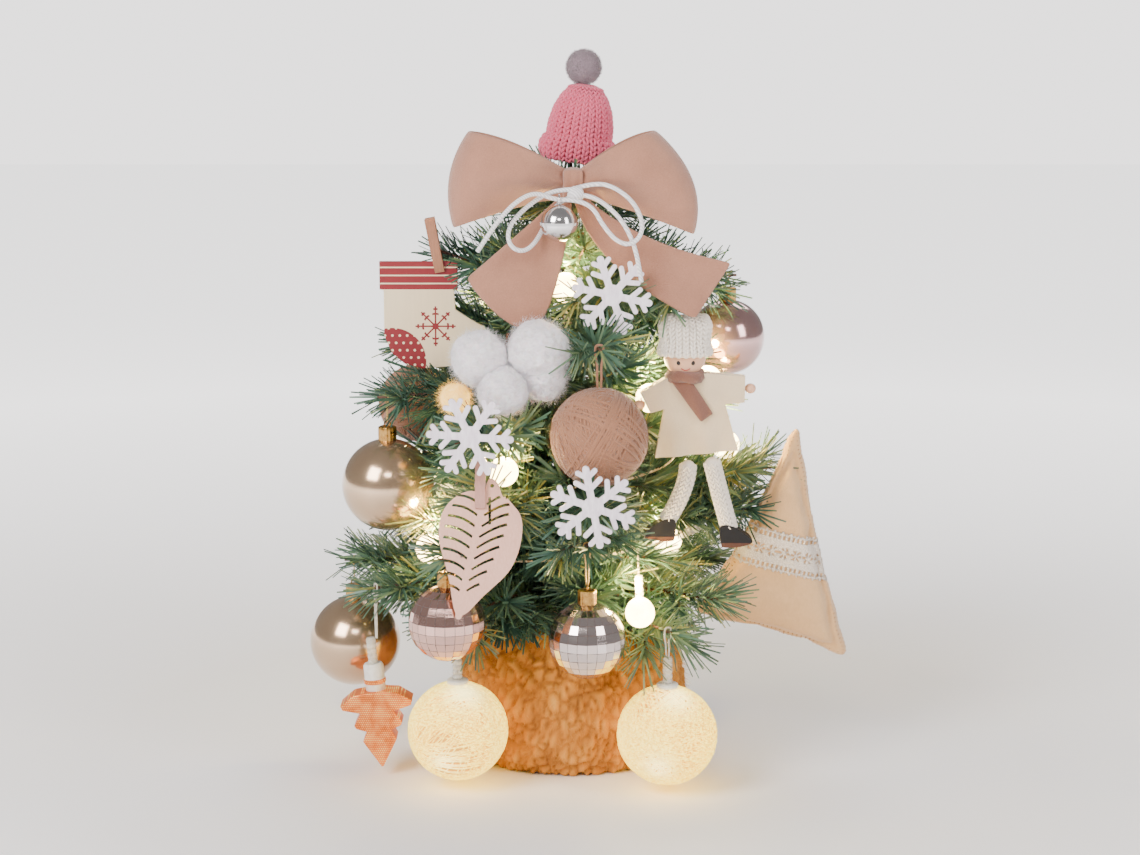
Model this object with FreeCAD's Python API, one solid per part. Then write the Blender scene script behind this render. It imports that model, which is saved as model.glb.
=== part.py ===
import FreeCAD, Part
import math
import os

# Artificial tabletop tree in a fur-covered pot, 450 mm tall.
# Millimetres, +Z up, front is -Y. The origin is the middle of the pot's underside.

V = FreeCAD.Vector
UP = V(0, 0, 1)
FRONT = V(0, -1, 0)
RIGHT = V(1, 0, 0)

# pot and trunk
pot_radius = 62.0
pot_height = 88.0
pot_wall = 2.0
fur_radius = 76.0
fur_top = 92.0
fur_floor = 2.0
ballast_top = 89.5
trunk_radius = 5.0
trunk_foot = 12.0
trunk_top = 362.0
leader_radius = 1.6
leader_top = 393.0

# branches
stem_radius = 1.2
stem_seat = 3.0
stem_overhang = 6.0
stem_room = 4.0
tiers = [  # height on the trunk, count, length, rise in degrees
    (112, 9, 116, 2),
    (138, 9, 112, 9),
    (166, 9, 104, 14),
    (196, 8, 94, 18),
    (228, 8, 82, 22),
    (262, 7, 70, 26),
    (296, 6, 56, 30),
    (328, 5, 40, 36),
    (350, 4, 24, 48),
]
lower_tiers = 4
tier_twist = 17.0

# threads and wires that the ornaments hang by
loop_slack = 0.5
silk = 0.4
yarn = 0.7
lead = 0.6

# ornaments that hang: middle, radius, height of the wire that they hang on
hung = {
    "left_bauble": (V(-113, -48, 183), 28.6, 238),
    "lower_bauble": (V(-138.5, -10, 73), 29.0, 126),
    "rear_bauble": (V(102, 35, 264), 24.4, 304),
    "left_disco_ball": (V(-73.5, -117, 112.6), 23.0, 152),
    "right_disco_ball": (V(10.2, -112, 100.4), 23.1, 158),
    "front_yarn_ball": (V(17.3, -102, 222.4), 30.0, 275),
    "side_yarn_ball": (V(-98, 8, 225), 25.0, 264),
    "cotton_light_left": (V(-68.9, -88, 36.8), 31.0, 104),
    "cotton_light_right": (V(59.4, -95, 36.2), 31.0, 101),
    "tree_lamp": (V(-120.5, -61, 45), 25.0, 120),
}
bauble_wall = 1.0
cap_radius = 5.5
cap_height = 7.5
neck_radius = 3.0
facet_columns = 26
facet_rows = 13

# lamps
bulb_radius = 9.0
socket_radius = 2.6
socket_length = 16.0
cotton_wall = 0.9
front_bulbs = [
    V(-3, -50, 306),
    V(-40, -95, 200),
    V(-85.6, -75, 148),
    V(61, -36, 144.5),
    V(42.5, -94, 112.5),
    V(49.4, -46, 236.8),
]
string_radius = 0.9
string_turns = 4.25
string_steps = 12
string_low = 122.0
string_high = 300.0
string_wide = 90.0
string_narrow = 40.0
rear_bulb_steps = (1, 10, 14, 21, 24, 33, 38)
rear_bulb_reach = 30.0

# battery box behind the pot
box_width = 54.0
box_depth = 21.0
box_height = 76.0
box_front = 81.0
box_wall = 2.2
box_corner = 2.0
cover_height = 58.0
cover_lip = 1.3
cover_foot = 3.3
cover_ledge = 62.0
room_play = 1.0
cell_radius = 7.1
cell_length = 50.5
cell_pitch = 14.8
knob_size = V(6.4, 4.2, 5.0)
knob_left = -15.0
knob_travel = 3.0

# knitted hat
hat_foot = V(3.4, -3.5, 379)
hat_lean = 8.0
pompom_middle = V(8.6, -3.5, 438)
pompom_radius = 12.0

# felt bow
felt = 2.0
bow_middle = V(1.8, -58, 369)
tail_slope = 0.30
band_size = V(13.0, 12.0, 19.0)
band_corner = 2.5
knot_radius = 5.4
cord_radius = 1.35

# bell under the bow
bell_hook = V(-6.5, -77, 361.5)
bell_radius = 11.0
bell_wall = 0.7
pellet_radius = 3.0


def save(node, *solids):
    shape = solids[0] if len(solids) == 1 else Part.Compound(list(solids))
    shape.exportStep("parts/%s.step" % node)


def rod(start, end, radius):
    return Part.makeCylinder(radius, start.distanceToPoint(end), start, end - start)


def ball(middle, radius):
    return Part.makeSphere(radius, middle)


def fused(solids):
    return solids[0].multiFuse(solids[1:]).removeSplitter()


# a solid of revolution about the vertical through middle, from (radius, height) corners
def turned(profile, middle=V(0, 0, 0)):
    corners = [middle + V(radius, 0, z) for radius, z in profile]
    face = Part.Face(Part.makePolygon(corners + corners[:1]))
    return face.revolve(middle, UP, 360)


# a plate whose front outline is given as (x, z) corners, with its front face at y
def plate(outline, y, thickness):
    corners = [V(x, y, z) for x, z in outline]
    face = Part.Face(Part.makePolygon(corners + corners[:1]))
    return face.extrude(V(0, thickness, 0))


# a smooth closed outline through (x, z) points at y
def smooth_plate(points, y, thickness):
    curve = Part.BSplineCurve()
    curve.interpolate([V(x, y, z) for x, z in points], PeriodicFlag=True)
    face = Part.Face(Part.Wire(curve.toShape()))
    return face.extrude(V(0, thickness, 0))


def direction(start, end):
    return (end - start).normalize()


# a round tube whose path is straight runs joined by tangent arcs
def tube(name, route, radius):
    edges = []
    bends = []
    start = route[0]
    for before, corner, after in zip(route, route[1:], route[2:]):
        into = direction(before, corner)
        out = direction(corner, after)
        half_turn = into.getAngle(out) / 2
        reach = 0.45 * min(before.distanceToPoint(corner), corner.distanceToPoint(after))
        bend = reach / math.tan(half_turn)
        inward = (out - into).normalize()
        middle = corner + inward * (bend / math.cos(half_turn) - bend)
        arc_start = corner - into * reach
        arc_end = corner + out * reach
        edges.append(Part.LineSegment(start, arc_start).toShape())
        edges.append(Part.Arc(arc_start, middle, arc_end).toShape())
        bends.append(bend)
        start = arc_end
    edges.append(Part.LineSegment(start, route[-1]).toShape())
    path = Part.Wire(edges)
    ring = Part.Circle(route[0], direction(route[0], route[1]), radius).toShape()
    solid = path.makePipeShell([Part.Wire(ring)], True, False)
    plain = math.pi * radius ** 2 * path.Length
    print("%s: length %.0f, volume / plain %.3f, bends" % (name, path.Length, solid.Volume / plain),
          " ".join("%.0f" % bend for bend in bends))
    return solid


# the horizontal direction from the trunk out to a point
def outward(point):
    return V(point.x, point.y, 0).normalize()


def pivot_of(node):
    middle, radius, hook = hung[node]
    return V(middle.x, middle.y, hook)


# a thread over a wire: up one leg, round the wire with some slack and down the other
def hang_loop(pivot, foot_z, thread):
    side = outward(pivot).cross(UP)
    round_wire = stem_radius + loop_slack + thread
    gap = thread + 0.2
    drop = pivot.z - foot_z
    foot_angle = math.atan2(-drop, gap)
    touch = foot_angle + math.acos(round_wire / math.hypot(gap, drop))

    def on_plane(across, up):
        return pivot + side * across + UP * up

    right = on_plane(round_wire * math.cos(touch), round_wire * math.sin(touch))
    left = on_plane(-round_wire * math.cos(touch), round_wire * math.sin(touch))
    foot = on_plane(gap, -drop)
    path = Part.Wire([
        Part.LineSegment(foot, right).toShape(),
        Part.Arc(right, on_plane(0, round_wire), left).toShape(),
        Part.LineSegment(left, on_plane(-gap, -drop)).toShape(),
    ])
    ring = Part.Circle(foot, right - foot, thread).toShape()
    return path.makePipeShell([Part.Wire(ring)], True, False)


def pot():
    outer = [(0, 0), (67, 0), (73, 8), (fur_radius, 30), (75.5, 52), (73, 76), (69, 88), (64, fur_top)]
    inner = [(pot_radius, fur_top - 3), (pot_radius, fur_floor), (0, fur_floor)]
    save("base_fur_cover", turned(outer + inner))
    tub_floor = fur_floor + pot_wall
    tub_rim = fur_floor + pot_height
    inside = pot_radius - pot_wall
    save("base_tub", turned([(0, fur_floor), (pot_radius, fur_floor), (pot_radius, tub_rim),
                             (inside, tub_rim), (inside, tub_floor), (0, tub_floor)]))
    ballast = turned([(0, tub_floor), (inside, tub_floor), (inside, ballast_top), (0, ballast_top)])
    save("base_ballast", ballast.cut(rod(V(0, 0, trunk_foot), V(0, 0, fur_top), trunk_radius)))


def trunk():
    pole = rod(V(0, 0, trunk_foot), V(0, 0, trunk_top), trunk_radius)
    leader = rod(V(0, 0, trunk_top), V(0, 0, leader_top), leader_radius)
    save("trunk_pole", pole.fuse(leader))


def string_point(step):
    share = step / (string_turns * string_steps)
    angle = math.radians(90 + 360 * step / string_steps)
    z = string_low + (string_high - string_low) * share
    radius = string_wide + (string_narrow - string_wide) * share
    return V(radius * math.cos(angle), radius * math.sin(angle), z)


def string_route():
    box_top = V(14, box_front + box_depth / 2, box_height)
    rise = [box_top, box_top + V(1, 1.5, 14), box_top + V(-3, 2, 30)]
    turns = [string_point(step) for step in range(int(string_turns * string_steps) + 1)]
    return rise + turns


def nearest(point, points):
    return min(points, key=point.distanceToPoint)


def bulb_places():
    rear = []
    for step in rear_bulb_steps:
        spot = string_point(step)
        rear.append(spot + outward(spot) * rear_bulb_reach + UP * 4)
    return front_bulbs + rear


# each lamp: a globe, a clear socket behind it and a short lead down to the string
def lamp(middle, route):
    joint = nearest(middle, route)
    back = direction(middle, joint)
    neck = middle + back * (bulb_radius - 1)
    tail = neck + back * socket_length
    globe = ball(middle, bulb_radius).cut(rod(neck, tail, socket_radius))
    socket = rod(neck, tail, socket_radius)
    if tail.distanceToPoint(joint) > 2 * string_radius:
        socket = socket.fuse(rod(tail, joint, lead))
    return globe, socket


def lights():
    route = string_route()
    lamps = [lamp(middle, route) for middle in bulb_places()]
    save("lamp_bulbs", *[globe for globe, socket in lamps])
    save("lamp_sockets", *[socket for globe, socket in lamps])
    save("string_wire", tube("string_wire", route, string_radius))


def box_room():
    return box_width - 2 * box_wall - 2 * room_play


# a block centred on the box, by its width, front, depth, foot and height
def centred(width, front, depth, foot, height):
    return Part.makeBox(width, depth, height, V(-width / 2, front, foot))


def battery_case():
    back = box_front + box_depth
    ledge = box_room() + 2.4
    shell = centred(box_width, box_front, box_depth, 0, box_height)
    shell = shell.makeFillet(box_corner, [edge for edge in shell.Edges if abs(edge.tangentAt(0).z) > 0.9])
    room = centred(box_room(), box_front + box_wall, box_depth, 4, cell_length + 1.5)
    groove = centred(ledge, back - 3.0, 1.6, 3, cover_ledge - 3)
    mouth = centred(box_room() - 1, back - 3.5, 6, 3, 60)
    notch = centred(ledge, back - 3.0, 6, cover_ledge, 20)
    slot_size = knob_size + V(knob_travel + 1.0, 0.4, 4)
    slot_front = box_front + box_depth / 2 - slot_size.y / 2
    slot = Part.makeBox(slot_size.x, slot_size.y, slot_size.z, V(knob_left - 0.2, slot_front, box_height - 3))
    for space in (room, groove, mouth, slot, notch):
        shell = shell.cut(space)
    save("battery_case", shell)


def battery_cover():
    back = box_front + box_depth
    lip = centred(box_room() + 2.0, back - 2.85, cover_lip, cover_foot, cover_height)
    skin = centred(box_room() - 1.6, back - 1.6, 1.6, cover_foot, cover_height)
    save("battery_cover", lip.fuse(skin))


def battery_inside():
    cells = []
    for place in (-1, 0, 1):
        foot = V(place * cell_pitch, box_front + box_wall + cell_radius + 0.2, 4.6)
        cells.append(rod(foot, foot + UP * cell_length, cell_radius))
    save("battery_cells", *cells)
    middle_y = box_front + box_depth / 2
    corner = V(knob_left, middle_y - knob_size.y / 2, box_height - 2.8)
    save("switch_knob", Part.makeBox(knob_size.x, knob_size.y, knob_size.z, corner))


def hat():
    lean = FreeCAD.Placement(hat_foot, FreeCAD.Rotation(V(0, 1, 0), hat_lean))
    outer = [(19.5, 0), (22.5, 1.5), (24, 5), (24, 10), (22.5, 14), (20.3, 16), (19.6, 24), (18.2, 34),
             (15, 42), (9, 47.5), (0, 49.5)]
    inner = [(0, 46.5), (7.5, 44.5), (12.5, 40), (15.4, 33), (16.6, 24), (17, 12), (17.5, 2)]
    knit = turned(outer + inner)
    knit.Placement = lean
    save("hat_knit", knit)
    save("hat_pompom", ball(pompom_middle, pompom_radius).cut(knit))


# one loop: a teardrop band seen from above, trimmed to the bow's front outline
def bow_loop(side, outline):
    outer = [(3, -3.5), (22, -9), (48, -13), (66, -11), (73, -2),
             (71, 7), (60, 12), (42, 11), (22, 7), (3, 3.5)]
    inner = [(3, -1.5), (22, -7), (48, -11), (65, -9), (70.8, -2),
             (69, 5.4), (59, 10), (42, 9), (22, 5), (3, 1.5)]

    def prism(points):
        corners = [bow_middle + V(side * x, y, -60) for x, y in points]
        return Part.Face(Part.makePolygon(corners + corners[:1])).extrude(UP * 120)

    band = prism(outer).cut(prism(inner))
    return band.common(plate(outline, bow_middle.y - 40, 80))


def bow():
    x, z = bow_middle.x, bow_middle.z
    left = [(x - 3, z + 8), (x - 30, z + 23), (-61, 402), (-73, 374), (-71, 343),
            (x - 30, z - 14), (x - 3, z - 8)]
    right = [(x + 3, z + 8), (x + 26, z + 22), (51, 402.5), (74, 372), (75.5, 339),
             (x + 30, z - 16), (x + 3, z - 8)]
    save("bow_loops", bow_loop(-1, left), bow_loop(1, right))
    left_tail = [(-6, 362), (-63.3, 313.7), (-31.2, 284.9), (-12, 298.3), (-3, 330), (1, 360)]
    right_tail = [(2.5, 360), (25.4, 322.8), (75, 289.8), (97.7, 323.2), (47.2, 338.1), (9, 362)]
    save("bow_tails", bow_tail(left_tail), bow_tail(right_tail))
    band = band_block()
    save("bow_band", band.makeFillet(band_corner, band.Edges))


def band_block():
    return Part.makeBox(band_size.x, band_size.y, band_size.z, bow_middle - band_size * 0.5)


# a flat felt tail that comes forward as it goes down
def bow_tail(outline):
    corners = [V(x, bow_middle.y - (362 - z) * tail_slope, z) for x, z in outline]
    face = Part.Face(Part.makePolygon(corners + corners[:1]))
    behind = V(0, 1, tail_slope).normalize() * felt
    tail = face.extrude(behind)
    return tail.cut(band_block())


knot = V(3.5, -72, 364.5)

cord_left_route = [  # knot, left loop, knot, right tail
    V(5, -73, 367.5),
    V(-9, -73.5, 367.5),
    V(-22, -77, 360.5),
    V(-33, -81, 351),
    V(-37.5, -82, 342),
    V(-35.5, -82, 334),
    V(-28.5, -80.5, 330.5),
    V(-21.5, -75.5, 334.5),
    V(-15.5, -65.3, 344.5),
    V(-10, -65.5, 356),
    V(0, -70.5, 363.5),
    V(12, -74, 364),
    V(22.5, -78.5, 358),
    V(31, -82, 349.5),
    V(37, -83.5, 338.5),
    V(40.5, -86.5, 326.5),
    V(42.5, -89, 313.5),
]
cord_right_route = [  # knot, right loop, knot, left tail
    V(2, -69.2, 367.5),
    V(15, -71, 371.5),
    V(27, -77, 369),
    V(38, -82.5, 360.5),
    V(43.5, -85.5, 348.5),
    V(41.5, -86.3, 339.5),
    V(34.5, -86.3, 335),
    V(26.5, -84.5, 338.5),
    V(19, -80.5, 347.5),
    V(13.5, -77.5, 357.5),
    V(3, -77, 361.5),
    V(-9, -77, 361.5),
    V(-20.5, -81.5, 366.5),
    V(-31, -86, 362),
    V(-41, -88.5, 352),
    V(-48.5, -88, 341.5),
    V(-55, -86, 331.5),
]


def bow_cord():
    left = tube("bow_cord_left", cord_left_route, cord_radius)
    right = tube("bow_cord_right", cord_right_route, cord_radius)
    save("bow_cord_left", left)
    save("bow_cord_right", right)
    save("bow_cord_knot", ball(knot, knot_radius))


# a round jingle bell: hollow, with a slot below, and a ring that runs on the cord
def bell():
    middle = bell_hook - UP * (bell_radius + 3.1)
    shell = ball(middle, bell_radius).cut(ball(middle, bell_radius - bell_wall))
    belt = turned([(bell_radius - 0.3, -0.8), (bell_radius + 0.5, -0.8),
                   (bell_radius + 0.5, 0.8), (bell_radius - 0.3, 0.8)], middle)
    slot = Part.makeBox(18, 2.0, 20, middle + V(-9, -1.0, -20))
    shell = shell.fuse(belt).cut(slot)
    ring = Part.makeTorus(2.9, 0.6, bell_hook, RIGHT)
    shell = shell.fuse(ring.cut(ball(middle, bell_radius - bell_wall)))
    save("bell_shell", shell)
    rest = middle - UP * (bell_radius - bell_wall - pellet_radius - 0.1)
    save("bell_pellet", ball(rest, pellet_radius))


def round_shell(middle, radius):
    shell = ball(middle, radius).cut(ball(middle, radius - bauble_wall))
    return shell.cut(rod(middle, middle + UP * (radius + 2), neck_radius))


# a ball of flat mirror facets
def faceted_shell(middle, radius):
    def corner(row, column):
        lift = math.pi * (row / facet_rows - 0.5)
        turn = 2 * math.pi * column / facet_columns
        level = radius * math.cos(lift)
        return middle + V(level * math.cos(turn), level * math.sin(turn), radius * math.sin(lift))

    faces = []
    for row in range(1, facet_rows - 1):
        for column in range(facet_columns):
            low = [corner(row, column), corner(row, column + 1)]
            loop = low + [corner(row + 1, column + 1), corner(row + 1, column)]
            faces.append(Part.Face(Part.makePolygon(loop + loop[:1])))
    for row in (1, facet_rows - 1):
        loop = [corner(row, column) for column in range(facet_columns)]
        faces.append(Part.Face(Part.makePolygon(loop + loop[:1])))
    solid = Part.Solid(Part.Shell(faces))
    inside = ball(middle, radius * 0.93)
    return solid.cut(inside).cut(rod(middle, middle + UP * (radius + 2), neck_radius))


def bauble(node, shell):
    middle, radius, hook = hung[node]
    save(node, shell(middle, radius))
    foot = middle + UP * (radius - 2)
    top = middle + UP * (radius + cap_height)
    crown = rod(foot, top, cap_radius).cut(ball(middle, radius))
    eye = Part.makeTorus(2.0, 0.5, top + UP * 1.6, outward(middle).cross(UP))
    cap = crown.fuse(eye)
    thread = hang_loop(pivot_of(node), top.z + 3.3, silk)
    save(node + "_cap", cap, thread.cut(cap))


def yarn_ball(node):
    middle, radius, hook = hung[node]
    solid = ball(middle, radius)
    thread = hang_loop(pivot_of(node), middle.z + radius - 2, yarn)
    save(node, solid, thread.cut(solid))


# a hollow ball of glued thread on a clear lamp socket
def cotton_light(node):
    middle, radius, hook = hung[node]
    shell = ball(middle, radius).cut(ball(middle, radius - cotton_wall))
    shell = shell.cut(rod(middle, middle + UP * (radius + 2), neck_radius + 1))
    collar = rod(middle + UP * (radius - 1.5), middle + UP * (radius + 1.5), 6.5).cut(ball(middle, radius))
    plug = rod(middle + UP * (radius - 3), middle + UP * (radius + 18), neck_radius)
    diode = rod(middle + UP * (radius - 12), middle + UP * (radius - 3), 2.5)
    loop = hang_loop(pivot_of(node), middle.z + radius + 18, lead)
    save(node, shell, fused([collar, plug, diode]), loop)


# a perforated metal fir, tip down, with a round collar and a clear socket
def tree_lamp():
    middle, radius, hook = hung["tree_lamp"]
    half = [(6.0, 10), (14, 9), (22.5, 3), (21.5, 0), (10.5, -3), (15, -10.5), (14, -12.5),
            (7.5, -15), (10.5, -21), (9.5, -23), (0.6, -38)]
    outline = [(middle.x + x, middle.z + z) for x, z in half]
    outline += [(middle.x - x, middle.z + z) for x, z in reversed(half)]
    depth = 17.0
    skin = plate(outline, middle.y - depth / 2, depth)
    core = [(middle.x + (x - middle.x) * 0.86, middle.z + (z - middle.z) * 0.9) for x, z in outline]
    skin = skin.cut(plate(core, middle.y - depth / 2 + 1, depth - 2))
    collar_foot = middle + UP * 10
    collar = rod(collar_foot, collar_foot + UP * 17, 6.3)
    plug = rod(collar_foot + UP * 17, collar_foot + UP * 34, neck_radius)
    lean = 5.0
    parts = [skin, collar.fuse(plug)]
    for part in parts:
        part.rotate(middle, V(0, 1, 0), -lean)
    top = middle + UP * (10 + 34)
    foot_x = top.x - 44 * math.sin(math.radians(lean))
    for part in parts:
        part.translate(V(top.x - foot_x - 3.8, 0, 0))
    loop = hang_loop(pivot_of("tree_lamp"), top.z + 0.2, lead)
    save("tree_lamp", *parts, loop)


# one six-armed snowflake in the XZ plane
def snowflake(middle, radius, turn, tip):
    thick = 1.6
    width = 4.2

    def bar(inner, outer, across):
        strip = Part.makeBox(outer - inner, thick, across, V(inner, -thick / 2, -across / 2))
        end = Part.makeCylinder(across / 2, thick, V(outer, -thick / 2, 0), V(0, 1, 0))
        return strip.fuse(end)

    arm = [bar(3.5, radius - width * 0.6, width)]
    for place, length in ((0.42, 0.34), (0.70, 0.24)):
        for tilt in (-52, 52):
            twig = bar(0, radius * length, 3.0)
            twig.rotate(V(0, 0, 0), V(0, 1, 0), tilt)
            twig.translate(V(radius * place, 0, 0))
            arm.append(twig)
    pieces = []
    for step in range(6):
        for part in arm:
            copy = part.copy()
            copy.rotate(V(0, 0, 0), V(0, 1, 0), 60 * step)
            pieces.append(copy)
    hub = Part.makeCylinder(6.4, thick, V(0, -thick / 2, 0), V(0, 1, 0))
    flake = fused([hub] + pieces)
    flake.rotate(V(0, 0, 0), V(0, 1, 0), turn)
    flake.rotate(V(0, 0, 0), RIGHT, tip)
    flake.translate(middle)
    return flake


snowflakes = [  # middle, radius, turn, forward tip
    (V(25.1, -84, 305.1), 25.0, 12, -8),
    (V(-58.2, -134, 228.2), 26.0, 4, 6),
    (V(13.3, -141, 187.8), 26.6, 20, 10),
]

leaf_grip = FreeCAD.Placement(V(-53, -117, 197), FreeCAD.Rotation(RIGHT, -19.7))
sock_grip = FreeCAD.Placement(V(-83.2, -30, 328), FreeCAD.Rotation(V(0, 1, 0), -10.7))
peg_width = 6.0


def placed(shape, placement):
    copy = shape.copy()
    copy.Placement = placement
    return copy


# a wooden leaf in the peg's frame: a round top with a hole, a point below left, cut veins
def leaf():
    outline = [(7, 3), (10.5, 0), (13, -7), (21.5, -15), (24.5, -32), (17, -52), (1, -68), (-13, -80),
               (-17.5, -64), (-22.5, -42), (-24, -24), (-18, -11), (-6, -6.5), (2.5, -5), (3.8, 0)]
    blade = smooth_plate(outline, -1, 2)
    tip = V(-13, 0, -79)
    stalk = V(3.2, 0, -7)
    spine = direction(stalk, tip)
    cuts = [Part.makeCylinder(1.2, 6, V(7, -3, -1.2), V(0, 1, 0))]
    count = 9
    for step in range(count):
        root = stalk + spine * (7 + 6.6 * step)
        reach = 17.5 * math.sin(math.pi * (0.3 + 0.62 * step / count))
        for side in (-1, 1):
            cut = Part.makeBox(reach, 6, 1.7, V(2.2, -3, -0.85))
            angle = 22 if side > 0 else 158
            cut.rotate(V(0, 0, 0), V(0, 1, 0), -angle)
            cut.translate(root)
            cuts.append(cut)
    cuts.append(Part.makeBox(1.5, 6, 17, V(4.6, -3, -26)))
    for cut in cuts:
        blade = blade.cut(cut)
    save("leaf_plate", placed(blade, leaf_grip))


# a stocking-shaped plate: straight cuff, heel below left, toe to the right
def sock():
    outline = [(-118, 302.5), (-118, 320), (-69.5, 320), (-69.5, 302.5), (-72, 302), (-71, 290), (-62, 284),
               (-51, 278), (-47, 270), (-50, 262), (-60, 257), (-78, 254), (-92, 253), (-103, 256),
               (-111, 263), (-115.5, 274), (-115.5, 302)]
    save("sock_plate", plate(outline, -31, 2))


# half of a wooden peg in its own frame: pivot at the origin, jaw down, handle up
def peg_half(front):
    side = [(-1, -15), (-1, 2), (-3.4, 19), (-5.6, 19), (-4.6, 0), (-3.4, -13), (-2.6, -15)]
    corners = [V(-peg_width / 2, y if front else -y, z) for y, z in side]
    half = Part.Face(Part.makePolygon(corners + corners[:1])).extrude(RIGHT * peg_width)
    return half.cut(rod(V(-5, 0, 0), V(5, 0, 0), 2.2))


def pegs():
    coil = rod(V(-3.4, 0, 0), V(3.4, 0, 0), 2.0).cut(rod(V(-4, 0, 0), V(4, 0, 0), 1.2))
    save("leaf_peg_jaw", placed(peg_half(True), leaf_grip))
    save("sock_peg_jaw", placed(peg_half(True), sock_grip))
    save("peg_fixed_jaws", placed(peg_half(False), leaf_grip), placed(peg_half(False), sock_grip))
    save("peg_springs", placed(coil, leaf_grip), placed(coil, sock_grip))


puffs = [
    (V(-53.7, -96, 268.5), 17.9),
    (V(-19, -93.5, 272.5), 20.0),
    (V(-39.8, -106, 250.6), 16.0),
    (V(-16.5, -94, 256.5), 14.8),
]
lit_puff = (V(-69.1, -88, 243.4), 9.6)
boll_heart = V(-36, -88, 260)


def boll():
    white = []
    for middle, radius in puffs:
        puff = ball(middle, radius)
        for earlier in white:
            puff = puff.cut(earlier)
        white.append(puff)
    save("boll_puffs", ball(*lit_puff), *white)
    cup = Part.makeCone(3.0, 15.0, 18, boll_heart + V(0, 10, 0), FRONT)
    sepals = []
    for step in range(5):
        angle = math.radians(72 * step + 20)
        tip = boll_heart + V(23 * math.cos(angle), -4, 23 * math.sin(angle))
        root = boll_heart + V(9 * math.cos(angle), 2, 9 * math.sin(angle))
        sepals.append(Part.makeCone(4.0, 1.0, root.distanceToPoint(tip), root, tip - root))
    twig = rod(boll_heart + V(0, 24, 0), boll_heart + V(0, 9, 0), 2.0)
    husk = fused([cup, twig] + sepals)
    for puff in white:
        husk = husk.cut(puff)
    save("boll_husk", max(husk.Solids, key=lambda solid: solid.Volume))


doll_y = -66.0
doll_top = V(69.6, doll_y, 291)
doll_hook = 303.0
head_middle = V(69.8, doll_y, 266.5)
head_radius = 13.0
neck = V(70.2, doll_y, 254)
leg_tops = {"left": V(72.2, doll_y, 197.0), "right": V(87.2, doll_y, 199.0)}
leg_bends = {"left": V(71.2, doll_y, 182.0), "right": V(92.5, doll_y, 178.0)}
leg_feet = {"left": V(59.0, doll_y, 163.0), "right": V(98.0, doll_y, 159.0)}
leg_radius = 4.8
hand_middles = [V(109.8, doll_y, 246), V(42.5, doll_y, 236)]
hand_radius = 3.4


def doll():
    head = ball(head_middle, head_radius)
    save("doll_head", head)
    knit = turned([(0, 0), (16.2, 0), (16.6, 4), (15.6, 9), (14.6, 11), (14.0, 20), (10, 26), (0, 27)],
                  head_middle - UP * 2)
    knit = knit.cut(head)
    thread = hang_loop(V(doll_top.x, doll_y, doll_hook), doll_top.z - 0.5, silk)
    save("doll_cap", knit, thread.cut(knit))
    wrap = Part.makeTorus(9.0, 3.4, neck, UP).cut(head)
    end = plate([(73, 256), (81, 252), (90, 238), (82, 234)], doll_y - 8.3, 2.6)
    scarf = wrap.fuse(end)
    save("doll_scarf", scarf)
    cloth = plate([(62, 255), (79, 256), (106.4, 254), (106.2, 238), (94.5, 237), (102.5, 208.5), (52, 203.5),
                   (57.5, 234), (48.8, 231.4), (42.6, 243.8)], doll_y - 5, 10)
    coat = cloth.cut(head).cut(scarf)
    save("doll_coat", max(coat.Solids, key=lambda solid: solid.Volume))
    save("doll_hands", *[ball(middle, hand_radius) for middle in hand_middles])
    for side in ("left", "right"):
        top, bend, foot = leg_tops[side], leg_bends[side], leg_feet[side]
        leg = fused([ball(top, leg_radius), rod(top, bend, leg_radius), ball(bend, leg_radius),
                     rod(bend, foot, leg_radius)])
        save("doll_%s_leg" % side, leg)
        toe = -1 if side == "left" else 1
        sole = smooth_plate([(foot.x - 5 * toe, foot.z - 10), (foot.x + 7 * toe, foot.z - 10.5),
                             (foot.x + 14 * toe, foot.z - 7), (foot.x + 10 * toe, foot.z - 3),
                             (foot.x + 4 * toe, foot.z + 1), (foot.x - 5 * toe, foot.z + 2)],
                            doll_y - 5.5, 11)
        save("doll_%s_shoe" % side, sole.cut(leg))


pillow_corners = [V(143.5, 0, 221.5), V(75.2, 0, 92), V(181.6, 0, 60.9)]
pillow_y = -20.0
pillow_sections = [(-17, 0.5), (-12, 0.78), (-6, 0.93), (-1.5, 1.0),
                   (1.5, 1.0), (6, 0.93), (12, 0.78), (17, 0.5)]
lace_width = 26.0
lace_middle = V(131, pillow_y, 137)
lace_tilt = 14.0


def pillow():
    centre = (pillow_corners[0] + pillow_corners[1] + pillow_corners[2]) * (1 / 3)

    def section(offset, scale, grow=0.0):
        corners = [centre + (corner - centre) * (scale + grow) + V(0, pillow_y + offset, 0)
                   for corner in pillow_corners]
        return Part.makePolygon(corners + corners[:1])

    body = Part.makeLoft([section(offset, scale) for offset, scale in pillow_sections], True, True)
    save("pillow_body", body)
    rings = [section(offset * 1.06, scale, 0.02) for offset, scale in pillow_sections]
    bigger = Part.makeLoft(rings, True, True)
    band = Part.makeBox(140, 80, lace_width, V(-70, -40, -lace_width / 2))
    band.rotate(V(0, 0, 0), V(0, 1, 0), lace_tilt)
    band.translate(lace_middle)
    save("pillow_lace", bigger.common(band).cut(body))


def stem(start, end):
    return Part.makeLine(start, end)


def seat(z, toward):
    return outward(toward) * stem_seat + UP * z


doll_pivot = V(doll_top.x, doll_y, doll_hook)

# wires that ornaments hang on: level, ending a little past the thread
def hanger_lines():
    pivots = [pivot_of(node) for node in hung] + [doll_pivot]
    return [stem(seat(pivot.z, pivot), pivot + outward(pivot) * stem_overhang) for pivot in pivots]


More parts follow.
